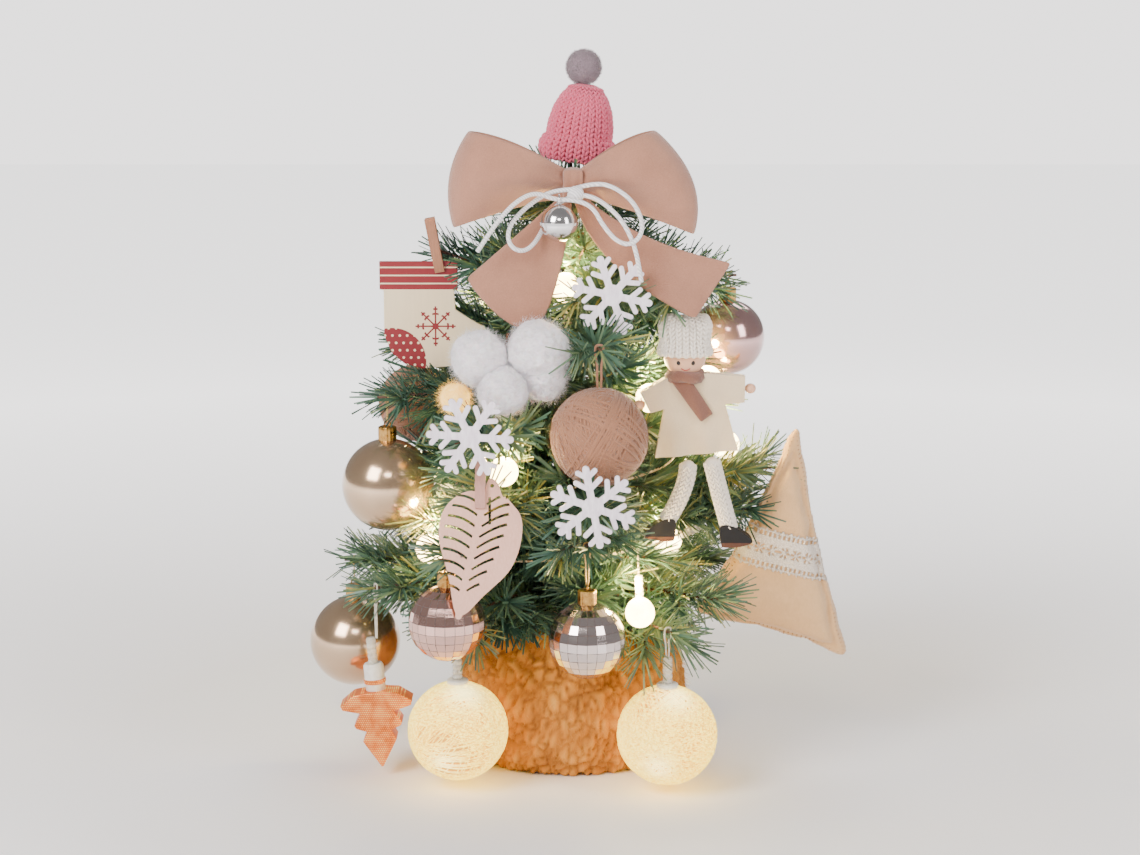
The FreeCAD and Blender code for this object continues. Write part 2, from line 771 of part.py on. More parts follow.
# wires that hold fixed pieces: height on the trunk and where they meet the piece
held = [
    (346, V(1.8, -51.8, 368)),
    (300, V(25.1, -82.6, 305.1)),
    (204, V(-58.2, -132.8, 228.2)),
    (172, V(13.3, -139.8, 187.8)),
    (142, V(-53, -112.6, 196)),
    (300, V(-81.5, -25.8, 326)),
    (240, V(-36, -64.4, 260)),
    (152, V(116, -20, 166)),
    (178, V(128, -19, 188)),
]


def support_lines():
    return [stem(seat(z, end), end) for z, end in held]


# everything that a free branch keeps away from, as plain round shapes
def obstacles():
    solids = []
    for middle, radius, hook in hung.values():
        solids.append(ball(middle, radius + 2))
        solids.append(rod(middle, V(middle.x, middle.y, hook + 3), 5))
    solids += [ball(middle, radius) for middle, radius in puffs + [lit_puff]]
    solids += [ball(middle, bulb_radius) for middle in bulb_places()]
    route = string_route()
    solids += [rod(middle, nearest(middle, route), socket_radius) for middle in bulb_places()]
    solids += [ball(middle, radius) for middle, radius, turn, tip in snowflakes]
    solids.append(rod(V(72, doll_y, 300), V(76, doll_y, 200), 26))
    solids += [rod(leg_tops[side], leg_feet[side] - UP * 12, 14) for side in leg_tops]
    solids += [ball(foot - UP * 6, 22) for foot in leg_feet.values()]
    solids.append(Part.makeBox(box_width + 4, 12, 90, V(-box_width / 2 - 2, box_front + box_depth - 6, 50)))
    solids.append(rod(leaf_grip.Base + V(0, 6, 18), V(-60, -134, 120), 16))
    solids.append(rod(V(-84, -28, 344), V(-90, -30, 254), 26))
    centre = (pillow_corners[0] + pillow_corners[1] + pillow_corners[2]) * (1 / 3) + V(0, pillow_y, 0)
    solids += [rod(centre, corner + V(0, pillow_y, 0), 22) for corner in pillow_corners]
    solids.append(rod(V(-60, -62, 372), V(60, -62, 372), 32))
    solids.append(rod(V(-2, -62, 350), V(-40, -80, 300), 14))
    solids.append(rod(V(2, -62, 350), V(80, -78, 308), 14))
    solids += [rod(here, there, string_radius) for here, there in zip(route, route[1:])]
    return solids


# a free branch is lowered, raised or cut back until it is clear of all of them
def free_branch(z, angle, length, rise, around):
    along = V(math.cos(angle), math.sin(angle), math.tan(math.radians(rise)))
    for cut in range(0, int(length) - 18, 9):
        for lift in (0, 5, -5, 9, -9):
            start = along * stem_seat + UP * (z + lift)
            line = stem(start, start + V(along).normalize() * (length - cut))
            if line.distToShape(around)[0] > stem_room:
                return line
    return None


def branches():
    fixed = hanger_lines() + support_lines()
    around = Part.Compound(obstacles() + fixed)
    lower = []
    upper = []
    for number, (z, count, length, rise) in enumerate(tiers):
        for step in range(count):
            angle = math.radians(360 * step / count + number * tier_twist)
            line = free_branch(z, angle, length, rise, around)
            if line is not None:
                group = lower if number < lower_tiers else upper
                group.append(line)

    def wires(lines):
        return [rod(line.Vertexes[0].Point, line.Vertexes[1].Point, stem_radius) for line in lines]

    print("free branches:", len(lower), len(upper))
    save("lower_branches", *wires(lower))
    save("upper_branches", *wires(upper))
    save("hanger_branches", *wires(fixed))


pot()
trunk()
lights()
battery_case()
battery_cover()
battery_inside()
hat()
bow()
bow_cord()
bell()
for node in ("left_bauble", "lower_bauble", "rear_bauble"):
    bauble(node, round_shell)
for node in ("left_disco_ball", "right_disco_ball"):
    bauble(node, faceted_shell)
yarn_ball("front_yarn_ball")
yarn_ball("side_yarn_ball")
cotton_light("cotton_light_left")
cotton_light("cotton_light_right")
tree_lamp()
save("snowflakes", *[snowflake(*values) for values in snowflakes])
leaf()
sock()
pegs()
boll()
doll()
pillow()
branches()
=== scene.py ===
import math

import bmesh
import bpy
import numpy as np
from mathutils import Matrix, Vector, noise
from mathutils.bvhtree import BVHTree


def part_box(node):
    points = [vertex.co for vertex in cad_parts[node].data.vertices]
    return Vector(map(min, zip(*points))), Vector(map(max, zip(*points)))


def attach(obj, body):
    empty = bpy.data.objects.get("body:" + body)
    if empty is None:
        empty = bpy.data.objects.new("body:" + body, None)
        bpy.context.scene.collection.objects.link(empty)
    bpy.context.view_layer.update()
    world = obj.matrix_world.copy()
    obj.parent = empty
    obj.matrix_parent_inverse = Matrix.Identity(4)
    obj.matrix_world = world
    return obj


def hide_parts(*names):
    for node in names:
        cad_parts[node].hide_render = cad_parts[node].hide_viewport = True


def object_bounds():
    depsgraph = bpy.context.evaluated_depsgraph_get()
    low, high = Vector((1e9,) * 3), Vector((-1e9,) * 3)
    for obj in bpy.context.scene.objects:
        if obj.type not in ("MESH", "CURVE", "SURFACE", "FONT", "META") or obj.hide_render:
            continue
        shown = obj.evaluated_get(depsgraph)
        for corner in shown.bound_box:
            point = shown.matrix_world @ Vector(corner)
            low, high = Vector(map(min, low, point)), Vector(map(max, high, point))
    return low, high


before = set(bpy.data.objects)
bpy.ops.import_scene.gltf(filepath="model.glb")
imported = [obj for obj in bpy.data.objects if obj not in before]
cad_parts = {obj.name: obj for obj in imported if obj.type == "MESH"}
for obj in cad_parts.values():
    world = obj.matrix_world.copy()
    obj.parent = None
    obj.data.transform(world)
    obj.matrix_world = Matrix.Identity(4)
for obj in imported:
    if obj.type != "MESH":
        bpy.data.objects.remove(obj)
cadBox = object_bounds()
print("frame loaded")

mm = 0.001
up = Vector((0, 0, 1))


class Wire:
    # a node's output that takes Python's operators
    def __init__(self, finish, socket):
        self.finish = finish
        self.socket = socket

    def math(self, operation, *others, clamp=False):
        settings = {"operation": operation, "use_clamp": clamp}
        values = dict(enumerate((self,) + others))
        return self.finish.node("ShaderNodeMath", settings, values)

    def __add__(self, other):
        return self.math("ADD", other)

    def __sub__(self, other):
        return self.math("SUBTRACT", other)

    def __rsub__(self, other):
        return self.finish.number(other).math("SUBTRACT", self)

    def __mul__(self, other):
        return self.math("MULTIPLY", other)

    def __truediv__(self, other):
        return self.math("DIVIDE", other)

    def __pow__(self, other):
        return self.math("POWER", other)

    def __lt__(self, other):
        return self.math("LESS_THAN", other)

    def __gt__(self, other):
        return self.math("GREATER_THAN", other)

    def __abs__(self):
        return self.math("ABSOLUTE")

    __radd__ = __add__
    __rmul__ = __mul__


class Finish:
    # one material; settings are set first, then values or links
    def __init__(self, name, **constants):
        self.material = bpy.data.materials.new(name)
        self.material.use_nodes = True
        self.tree = self.material.node_tree
        self.shader = self.tree.nodes["Principled BSDF"]
        for socket, value in constants.items():
            self.set(socket, value)

    def link(self, value, socket):
        if isinstance(value, Wire):
            self.tree.links.new(value.socket, socket)
        elif hasattr(value, "__len__") and socket.type == "RGBA":
            socket.default_value = (*value[:3], 1.0)
        else:
            socket.default_value = value

    def set(self, socket, value):
        self.link(value, self.shader.inputs[socket.replace("_", " ")])

    def node(self, kind, settings=None, values=None, output=0):
        made = self.tree.nodes.new(kind)
        for key, value in (settings or {}).items():
            if key == "stops":
                self.setStops(made.color_ramp, value)
            else:
                setattr(made, key, value)
        for key, value in (values or {}).items():
            self.link(value, made.inputs[key])
        return Wire(self, made.outputs[output])

    def setStops(self, ramp, stops):
        while len(ramp.elements) < len(stops):
            ramp.elements.new(0.5)
        for element, (place, colour) in zip(ramp.elements, stops):
            element.position = place
            element.color = (*colour[:3], 1.0)

    def number(self, value):
        return self.node("ShaderNodeMath", {"operation": "ADD"}, {0: value, 1: 0.0})

    def place(self):
        return self.node("ShaderNodeTexCoord", output="Object")

    def axes(self, place=None):
        split = self.tree.nodes.new("ShaderNodeSeparateXYZ")
        self.tree.links.new((place or self.place()).socket, split.inputs[0])
        return [Wire(self, output) for output in split.outputs]

    def stretched(self, scale, turn=(0, 0, 0), shift=(0, 0, 0), place=None):
        values = {"Vector": place or self.place(), "Scale": scale, "Rotation": turn, "Location": shift}
        return self.node("ShaderNodeMapping", None, values)

    def attribute(self, name):
        return self.node("ShaderNodeAttribute", {"attribute_name": name}, output="Fac")

    def grain(self, scale, detail=3.0, rough=0.6, place=None, distortion=0.0):
        values = {"Vector": place or self.place(), "Scale": scale, "Detail": detail,
                  "Roughness": rough, "Distortion": distortion}
        return self.node("ShaderNodeTexNoise", None, values, "Fac")

    def cells(self, scale, feature="F1", place=None, spread=1.0):
        values = {"Vector": place or self.place(), "Scale": scale, "Randomness": spread}
        return self.node("ShaderNodeTexVoronoi", {"feature": feature}, values, "Distance")

    def ramp(self, mask, *stops):
        return self.node("ShaderNodeValToRGB", {"stops": stops}, {"Fac": mask}, "Color")

    def range(self, value, low, high, toLow=0.0, toHigh=1.0):
        values = {"Value": value, "From Min": low, "From Max": high, "To Min": toLow, "To Max": toHigh}
        return self.node("ShaderNodeMapRange", None, values, "Result")

    def mixed(self, mask, first, second):
        values = {"Factor": mask, 6: first, 7: second}
        return self.node("ShaderNodeMix", {"data_type": "RGBA"}, values, 2)

    def bump(self, height, depth, strength=1.0, under=None):
        values = {"Height": height, "Distance": depth, "Strength": strength}
        if under is not None:
            values["Normal"] = under
        return self.node("ShaderNodeBump", None, values, "Normal")


# a colour as a person picks it on screen, 0 to 255, made linear
def shade(red, green, blue):
    def linear(value):
        value = value / 255
        return value / 12.92 if value <= 0.04045 else ((value + 0.055) / 1.055) ** 2.4
    return tuple(linear(value) for value in (red, green, blue))


def addObject(name, data, *finishes):
    piece = bpy.data.objects.new(name, data)
    bpy.context.scene.collection.objects.link(piece)
    for finish in finishes:
        data.materials.append(finish.material)
    return piece


def meshPiece(name, shape, *finishes, smooth=True):
    mesh = bpy.data.meshes.new(name)
    shape.to_mesh(mesh)
    shape.free()
    mesh.polygons.foreach_set("use_smooth", [smooth] * len(mesh.polygons))
    return addObject(name, mesh, *finishes)


def belong(piece, body, slot, *nodes):
    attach(piece, body)
    if nodes:
        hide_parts(*nodes)
    return piece


# modifiers made real, so that the mesh is final
def settle(piece):
    graph = bpy.context.evaluated_depsgraph_get()
    mesh = bpy.data.meshes.new_from_object(piece.evaluated_get(graph))
    piece.modifiers.clear()
    old = piece.data
    piece.data = mesh
    bpy.data.meshes.remove(old)
    return piece


def addModifier(piece, kind, **settings):
    modifier = piece.modifiers.new(kind.lower(), kind)
    for key, value in settings.items():
        setattr(modifier, key, value)
    return modifier


def rounded(piece, levels=1):
    addModifier(piece, "SUBSURF", levels=levels, render_levels=levels)
    return piece


# many copies of one small shape in one mesh; places is an array of 4x4 matrices
def stamp(name, shape, places, *finishes, tone=None, smooth=True):
    shape.verts.index_update()
    corners = np.array([v.co for v in shape.verts])
    faces = [[v.index for v in face.verts] for face in shape.faces]
    shape.free()
    places = np.asarray(places)
    moved = np.einsum("mij,nj->mni", places[:, :3, :3], corners) + places[:, None, :3, 3]
    count = len(corners)
    mesh = bpy.data.meshes.new(name)
    every = [[index + count * copy for index in face] for copy in range(len(places)) for face in faces]
    mesh.from_pydata(moved.reshape(-1, 3), [], every)
    mesh.polygons.foreach_set("use_smooth", [smooth] * len(mesh.polygons))
    if tone is not None:
        mesh.attributes.new("tone", "FLOAT", "POINT")
        mesh.attributes["tone"].data.foreach_set("value", np.repeat(tone, count).astype(np.float32))
    return addObject(name, mesh, *finishes)


# frames whose z runs along, turned so that x is as near to side as it can be
def framesAt(points, along, side, scale=1.0):
    points, along, side = (np.asarray(a, float) for a in (points, along, side))
    z = along / np.linalg.norm(along, axis=1, keepdims=True)
    y = np.cross(z, side)
    y /= np.linalg.norm(y, axis=1, keepdims=True) + 1e-12
    x = np.cross(y, z)
    places = np.zeros((len(points), 4, 4))
    scale = np.broadcast_to(np.asarray(scale, float).reshape(-1, 1) if np.ndim(scale) == 1
                            else np.asarray(scale, float), (len(points), 3))
    places[:, :3, 0] = x * scale[:, :1]
    places[:, :3, 1] = y * scale[:, 1:2]
    places[:, :3, 2] = z * scale[:, 2:3]
    places[:, :3, 3] = points
    places[:, 3, 3] = 1
    return places


# a lathe shape about the vertical through middle, from (radius, height) corners in millimetres
def lathe(profile, middle, steps=48, closed=False):
    shape = bmesh.new()
    ring = [shape.verts.new(middle + Vector((radius * mm, 0, z * mm))) for radius, z in profile]
    edges = [shape.edges.new(pair) for pair in zip(ring, ring[1:])]
    if closed:
        edges.append(shape.edges.new((ring[-1], ring[0])))
    bmesh.ops.spin(shape, geom=ring + edges, cent=middle, axis=up, angle=2 * math.pi, steps=steps, use_merge=True)
    bmesh.ops.remove_doubles(shape, verts=shape.verts, dist=1e-6)
    bmesh.ops.recalc_face_normals(shape, faces=shape.faces)
    return shape


def centreOf(node):
    low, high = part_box(node)
    return (low + high) / 2


def halfSize(node):
    low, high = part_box(node)
    return (high - low) / 2


# a copy of a CAD node with its loose triangles joined and its flats made whole
def joinedCopy(node, flatAngle=2.0):
    shape = bmesh.new()
    shape.from_mesh(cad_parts[node].data)
    bmesh.ops.remove_doubles(shape, verts=shape.verts, dist=1e-6)
    if flatAngle:
        bmesh.ops.dissolve_limit(shape, angle_limit=math.radians(flatAngle), verts=shape.verts, edges=shape.edges)
    return shape


def islandsOf(shape):
    seen = set()
    groups = []
    for first in shape.verts:
        if first in seen:
            continue
        group = [first]
        seen.add(first)
        for vert in group:
            for edge in vert.link_edges:
                other = edge.other_vert(vert)
                if other not in seen:
                    seen.add(other)
                    group.append(other)
        groups.append(group)
    return groups


# a smooth tube through the points, as a NURBS curve
def curvePiece(name, routes, radius, *finishes, resolution=2, cyclic=False, order=3):
    curve = bpy.data.curves.new(name, "CURVE")
    curve.dimensions = "3D"
    curve.bevel_depth = radius
    curve.bevel_resolution = resolution
    curve.use_fill_caps = True
    curve.resolution_u = 6
    for route in routes:
        spline = curve.splines.new("NURBS")
        spline.points.add(len(route) - 1)
        for point, place in zip(spline.points, route):
            point.co = (*place, 1)
        spline.order_u = order
        spline.use_endpoint_u = not cyclic
        spline.use_cyclic_u = cyclic
    return addObject(name, curve, *finishes)


def meshFromCurve(piece):
    graph = bpy.context.evaluated_depsgraph_get()
    mesh = bpy.data.meshes.new_from_object(piece.evaluated_get(graph))
    made = bpy.data.objects.new(piece.name + "_mesh", mesh)
    name = piece.name
    bpy.data.objects.remove(piece)
    bpy.context.scene.collection.objects.link(made)
    made.name = name
    return made


def randomDirections(rng, count):
    directions = rng.normal(size=(count, 3))
    return directions / np.linalg.norm(directions, axis=1, keepdims=True)


view = {"distance": 1.5, "lens": 74.1, "lookAt": (0, 0, 0.2102), "tilt": 10.0}


def addCamera():
    data = bpy.data.cameras.new("camera")
    data.lens = view["lens"]
    data.sensor_width = 36
    camera = bpy.data.objects.new("camera", data)
    bpy.context.scene.collection.objects.link(camera)
    tilt = math.radians(view["tilt"])
    back = Vector((0, -math.cos(tilt), math.sin(tilt)))
    camera.location = Vector(view["lookAt"]) + back * view["distance"]
    camera.rotation_euler = (math.radians(90) - tilt, 0, 0)
    bpy.context.scene.camera = camera


studio = [  # place, width, height, watts
    ((-1.0, -1.2, 1.15), 0.8, 0.9, 40),
    ((1.15, -1.0, 0.85), 0.5, 0.9, 12),
    ((0.2, 1.0, 1.2), 1.2, 0.7, 14),
    ((0.0, -1.7, 1.3), 0.5, 0.3, 6),
]


def addSoftboxes():
    for place, width, height, power in studio:
        data = bpy.data.lights.new("softbox", "AREA")
        data.shape = "RECTANGLE"
        data.size, data.size_y = width, height
        data.energy = power
        data.color = (1.0, 0.965, 0.955)
        lamp = bpy.data.objects.new("softbox", data)
        bpy.context.scene.collection.objects.link(lamp)
        lamp.location = place
        lamp.rotation_euler = (Vector((0, 0, 0.22)) - Vector(place)).to_track_quat("-Z", "Y").to_euler()


def addRoom():
    world = bpy.data.worlds.new("room")
    bpy.context.scene.world = world
    world.use_nodes = True
    background = world.node_tree.nodes["Background"]
    background.inputs["Color"].default_value = (1.0, 0.97, 0.965, 1)
    rays = world.node_tree.nodes.new("ShaderNodeLightPath")
    power = world.node_tree.nodes.new("ShaderNodeMapRange")
    power.inputs["To Min"].default_value = 0.30  # what lights the tree
    power.inputs["To Max"].default_value = 2.4  # what stands behind it
    world.node_tree.links.new(rays.outputs["Is Camera Ray"], power.inputs["Value"])
    world.node_tree.links.new(power.outputs["Result"], background.inputs["Strength"])
    floorPaint = Finish("floorPaint", Base_Color=(0.96, 0.95, 0.95), Roughness=0.8, Emission_Strength=1.9)
    x, y, z = floorPaint.axes()
    away = floorPaint.range((x * x + y * y).math("SQRT"), 0.3, 1.5)
    floorPaint.set("Emission_Color", floorPaint.mixed(away, (0, 0, 0), (1.0, 0.98, 0.975)))
    shape = bmesh.new()
    bmesh.ops.create_grid(shape, x_segments=1, y_segments=1, size=6)
    meshPiece("floor", shape, floorPaint)


addCamera()
addSoftboxes()
addRoom()
print("camera and room ready")


# the white cord of the bow: two free lengths from one knot
bowCord = {"thickness": 0.0027, "knot": (0.0035, -0.072, 0.3645)}

leftCordRoute = [
    (0.005, -0.073, 0.3675), (-0.009, -0.0735, 0.3675), (-0.022, -0.077, 0.3605), (-0.033, -0.081, 0.351),
    (-0.0375, -0.082, 0.342), (-0.0355, -0.082, 0.334), (-0.0285, -0.0805, 0.3305), (-0.0215, -0.0755, 0.3345),
    (-0.0155, -0.0653, 0.3445), (-0.010, -0.0655, 0.356), (0.0, -0.0705, 0.3635), (0.012, -0.074, 0.364),
    (0.0225, -0.0785, 0.358), (0.031, -0.082, 0.3495), (0.037, -0.0835, 0.3385), (0.0405, -0.0865, 0.3265),
    (0.0425, -0.089, 0.3135)]
rightCordRoute = [
    (0.002, -0.0692, 0.3675), (0.015, -0.071, 0.3715), (0.027, -0.077, 0.369), (0.038, -0.0825, 0.3605),
    (0.0435, -0.0855, 0.3485), (0.0415, -0.0863, 0.3395), (0.0345, -0.0863, 0.335), (0.0265, -0.0845, 0.3385),
    (0.019, -0.0805, 0.3475), (0.0135, -0.0775, 0.3575), (0.003, -0.077, 0.3615), (-0.009, -0.077, 0.3615),
    (-0.0205, -0.0815, 0.3665), (-0.031, -0.086, 0.362), (-0.041, -0.0885, 0.352), (-0.0485, -0.088, 0.3415),
    (-0.055, -0.086, 0.3315)]


def makeCordFinish():
    paint = Finish("whiteCotton", Roughness=0.8, Sheen_Weight=0.3)
    along = paint.node("ShaderNodeTexWave", {"wave_type": "BANDS", "bands_direction": "DIAGONAL"},
                       {"Vector": paint.place(), "Scale": 260.0, "Distortion": 1.5}, "Fac")
    paint.set("Base_Color", paint.mixed(along, shade(206, 202, 204), shade(246, 243, 242)))
    paint.set("Normal", paint.bump(along, 0.0004, 0.7))
    return paint


def makeBowCords():
    paint = makeCordFinish()
    knot = bmesh.new()
    bmesh.ops.create_icosphere(knot, subdivisions=3, radius=0.0052)
    for vert in knot.verts:
        groove = 0.5 + 0.5 * math.sin(vert.co.x * 1900 + vert.co.z * 900)
        vert.co *= 0.9 + 0.1 * groove
    bmesh.ops.scale(knot, verts=knot.verts, vec=(1.05, 0.8, 1.0))
    bmesh.ops.translate(knot, verts=knot.verts, vec=bowCord["knot"])
    bmesh.ops.recalc_face_normals(knot, faces=knot.faces)
    knotPiece = belong(meshPiece("cord_knot", knot, paint), "root", "white_cord", "bow_cord_knot")
    for side, route in (("left", leftCordRoute), ("right", rightCordRoute)):
        cord = curvePiece("cord_" + side, [route], bowCord["thickness"] / 2, paint, resolution=4)
        belong(cord, "root", "white_cord", "bow_cord_" + side)


makeBowCords()
print("bow cords made")

# needles on straight wires and their side twigs; lengths in metres
foliage = {"needle": (0.019, 0.026), "width": 0.0015, "perMillimetre": 2.1, "twig": (0.026, 0.044),
           "twigStep": 0.0125, "bare": 0.016, "overhang": 0.006, "seed": 7}
treeOutline = [(0.05, 0.118), (0.10, 0.152), (0.17, 0.160), (0.23, 0.142), (0.33, 0.103), (0.37, 0.082), (0.41, 0.05)]


def makeNeedleFinish():
    paint = Finish("pvcNeedle", Roughness=0.42, Specular_IOR_Level=0.45)
    tone = paint.attribute("tone")
    # the tone runs from dark green to yellow-green; its yellow top is mostly painted lamp light, reached by needles
    # near the bulbs
    green = paint.ramp(tone, (0.0, shade(30, 52, 44)), (0.35, shade(56, 88, 72)), (0.6, shade(88, 122, 98)),
                       (0.8, shade(128, 146, 96)), (1.0, shade(186, 172, 84)))
    mottle = paint.grain(420.0, 2.0)
    paint.set("Base_Color", paint.mixed(mottle * 0.4, green, shade(40, 66, 56)))
    paint.set("Roughness", paint.range(mottle, 0.3, 0.7, 0.36, 0.52))
    return paint


def makeWireFinish():
    paint = Finish("rustWire", Roughness=0.6)
    grain = paint.grain(500.0)
    paint.set("Base_Color", paint.ramp(grain, (0.3, shade(58, 38, 28)), (0.7, shade(104, 66, 44))))
    paint.set("Normal", paint.bump(grain, 0.0003, 0.5))
    return paint


def needleShape():
    shape = bmesh.new()
    bmesh.ops.create_cone(shape, cap_ends=True, segments=3, radius1=0.5, radius2=0.5, depth=1.0)
    bmesh.ops.translate(shape, verts=shape.verts, vec=(0, 0, 0.5))
    bmesh.ops.subdivide_edges(shape, edges=[e for e in shape.edges if abs(e.verts[0].co.z - e.verts[1].co.z) > 0.9],
                              cuts=1)
    for vert in shape.verts:
        vert.co.x *= 0.72 if vert.co.z > 0.9 else 1
        vert.co.y += 1.6 * (vert.co.z - vert.co.z ** 2)
    bmesh.ops.recalc_face_normals(shape, faces=shape.faces)
    return shape


# the two ends of every straight wire in a node, trunk end first
def stemLines(node):
    shape = joinedCopy(node, 0)
    lines = []
    for group in islandsOf(shape):
        points = np.array([v.co for v in group])
        centre = points.mean(axis=0)
        axis = np.linalg.svd(points - centre, full_matrices=False)[2][0]
        along = (points - centre) @ axis
        ends = [points[along < along.min() + 0.0015].mean(axis=0), points[along > along.max() - 0.0015].mean(axis=0)]
        ends.sort(key=lambda end: math.hypot(end[0], end[1]))
        lines.append(ends)
    shape.free()
    return lines


def obstacleTree(nodes, slack=0.0012):
    joined = bmesh.new()
    for node in nodes:
        joined.from_mesh(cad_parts[node].data)
    bmesh.ops.remove_doubles(joined, verts=joined.verts, dist=1e-6)
    joined.normal_update()
    for vert in joined.verts:
        vert.co += vert.normal * slack
    tree = BVHTree.FromBMesh(joined)
    joined.free()
    return tree


keepClear = [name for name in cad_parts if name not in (
    "lower_branches", "upper_branches", "hanger_branches", "string_wire", "trunk_pole", "base_tub", "base_ballast",
    "bow_cord_left", "bow_cord_right", "bow_cord_knot", "bell_pellet", "battery_cells")]


# how far outside the tree's outline a point lies
def beyondOutline(point):
    heights, reaches = zip(*treeOutline)
    return math.hypot(point[0], point[1]) - np.interp(point[2], heights, reaches)


# the battery cover slides up behind the foliage, so no needle reaches in there
def inLidPath(point):
    low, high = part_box("battery_cover")
    return low[0] - 0.003 < point[0] < high[0] + 0.003 and low[1] - 0.003 < point[1] and point[2] < high[2] + 0.06


def cutBack(start, end, margin):
    while beyondOutline(end) > -margin and np.linalg.norm(end - start) > 0.02:
        end = start + (end - start) * 0.96
    return end


# side twigs grow from a stem alternately left and right, the longer ones nearer the trunk
def growTwigs(lines, rng, clear):
    twigs = []
    for start, end in lines:
        length = np.linalg.norm(end - start)
        along = (end - start) / length
        side = np.cross(along, [0, 0, 1])
        side /= np.linalg.norm(side)
        at = foliage["bare"] + rng.uniform(0, 0.006)
        sign = rng.choice([-1, 1])
        while at < length - 0.012:
            share = 1 - 0.45 * at / length
            reach = rng.uniform(*foliage["twig"]) * share
            angle = math.radians(rng.uniform(34, 52))
            lift = rng.normal(0.0, 0.30)
            heading = along * math.cos(angle) + side * sign * math.sin(angle) + np.array([0, 0, lift])
            heading /= np.linalg.norm(heading)
            root = start + along * at
            hit = clear.ray_cast(Vector(root), Vector(heading), reach + 0.012)
            if hit[0] is not None:
                reach = hit[3] - 0.012
            end = cutBack(root, root + heading * reach, 0.014)
            reach = np.linalg.norm(end - root)
            inside = (end > np.array(cadBox[0]) + 0.004).all() and (end < np.array(cadBox[1]) - 0.004).all()
            if reach > 0.012 and inside:
                twigs.append((root, end))
            at += foliage["twigStep"] * rng.uniform(0.75, 1.25)
            sign = -sign
    return twigs


def needlesOn(lines, rng, clear, density):
    roots, headings, sides, scales, tonesWithPaintedLight = [], [], [], [], []
    low, high = (np.array(corner) for corner in cadBox)
    low, high = low - foliage["overhang"], high + foliage["overhang"]
    for start, end in lines:
        length = np.linalg.norm(end - start)
        along = (end - start) / length
        side = np.cross(along, [0, 0, 1])
        side /= np.linalg.norm(side)
        over = np.cross(side, along)
        first = min(foliage["bare"], 0.3 * length)
        count = int((length - first) * 1000 * density)
        base = rng.normal(0.42, 0.1)
        for number in range(count):
            place = first + (length - first) * (number + rng.random()) / count
            roll = number * 2.4 + rng.normal(0, 0.35)
            nearTip = max(0.0, 1 - (length - place) / 0.012)
            spread = math.radians(rng.normal(50, 8) * (1 - 0.55 * nearTip))
            outwards = side * math.cos(roll) + over * math.sin(roll)
            heading = along * math.cos(spread) + outwards * math.sin(spread)
            reach = rng.uniform(*foliage["needle"])
            root = start + along * place
            hit = clear.ray_cast(Vector(root), Vector(heading), reach + 0.001)
            if hit[0] is not None:
                reach = hit[3] - 0.0015
            end = root + heading * reach
            outside = (end < low).any() or (end > high).any() or beyondOutline(end) > rng.uniform(0, 0.008)
            if reach < 0.010 or outside or inLidPath(end):
                continue
            roots.append(root)
            headings.append(heading)
            sides.append(np.cross(heading, along))
            scales.append((foliage["width"], foliage["width"] * 0.42, reach))
            # painted lamp light: a needle near a bulb gets a warmer, yellower tone, as if lit by it
            warm = 0.6 * math.exp(-min((Vector(root) - bulb).length for bulb in bulbMiddles) / 0.022)
            tonesWithPaintedLight.append(min(1.0, max(0.0, base + rng.normal(0, 0.13) + 0.08 * nearTip + warm)))
    return framesAt(roots, headings, sides, np.array(scales)), np.array(tonesWithPaintedLight)


def stickMesh(name, lines, radii, *finishes):
    rod = bmesh.new()
    bmesh.ops.create_cone(rod, cap_ends=True, segments=6, radius1=1, radius2=0.75, depth=1)
    bmesh.ops.translate(rod, verts=rod.verts, vec=(0, 0, 0.5))
    starts = np.array([line[0] for line in lines])
    ends = np.array([line[1] for line in lines])
    lengths = np.linalg.norm(ends - starts, axis=1)
    scales = np.stack([radii, radii, lengths], axis=1)
    sides = np.tile([0.0, 0.1, 1.0], (len(lines), 1))
    return stamp(name, rod, framesAt(starts, ends - starts, sides, scales), *finishes)


# the middle of each lamp on the string, from its solid
def lampMiddles():
    globes = joinedCopy("lamp_bulbs", 0)
    middles = []
    for group in islandsOf(globes):
        corners = np.array([v.co for v in group])
        middles.append(Vector((corners.min(axis=0) + corners.max(axis=0)) / 2))
    globes.free()
    return middles


bulbMiddles = lampMiddles()


def makeFoliage():
    rng = np.random.default_rng(foliage["seed"])
    clear = obstacleTree(keepClear)
    needlePaint = makeNeedleFinish()
    wirePaint = makeWireFinish()
    for node, label in (("lower_branches", "lower"), ("upper_branches", "upper"), ("hanger_branches", "hanger")):
        stems = stemLines(node)
        if label != "hanger":
            stems = [(start, cutBack(start, end, 0.012)) for start, end in stems]
        twigs = growTwigs(stems, rng, clear)
        density = foliage["perMillimetre"]
        lines = stems + twigs
        radii = np.array([0.0012] * len(stems) + [0.0006] * len(twigs))
        belong(stickMesh(label + "_wires", lines, radii, wirePaint), "root", "stem_wire", node)
        places, tonesWithPaintedLight = needlesOn(lines, rng, clear, density)
        parts = max(1, math.ceil(len(places) * 14 / 190000))
        for part in range(parts):
            chosen = slice(part, None, parts)
            needles = stamp(f"{label}_needles_{part + 1}", needleShape(), places[chosen], needlePaint,
                            tone=tonesWithPaintedLight[chosen], smooth=False)
            belong(needles, "root", "stem_wire", node)
        print(label, "needles:", len(places))


makeFoliage()
print("foliage made")

# pot with its curly cover, and the trunk
fur = {"lump": 5.2, "upright": 0.5, "depth": 3.2, "step": 1.3, "around": 330, "fibres": 13000, "seed": 11}
furProfile = [(1, 1.5), (60, 1.5), (66, 3), (71, 12), (73.5, 30), (71.5, 50), (67, 72), (62, 88), (57, 90), (40, 88),
              (12, 86), (1, 86)]


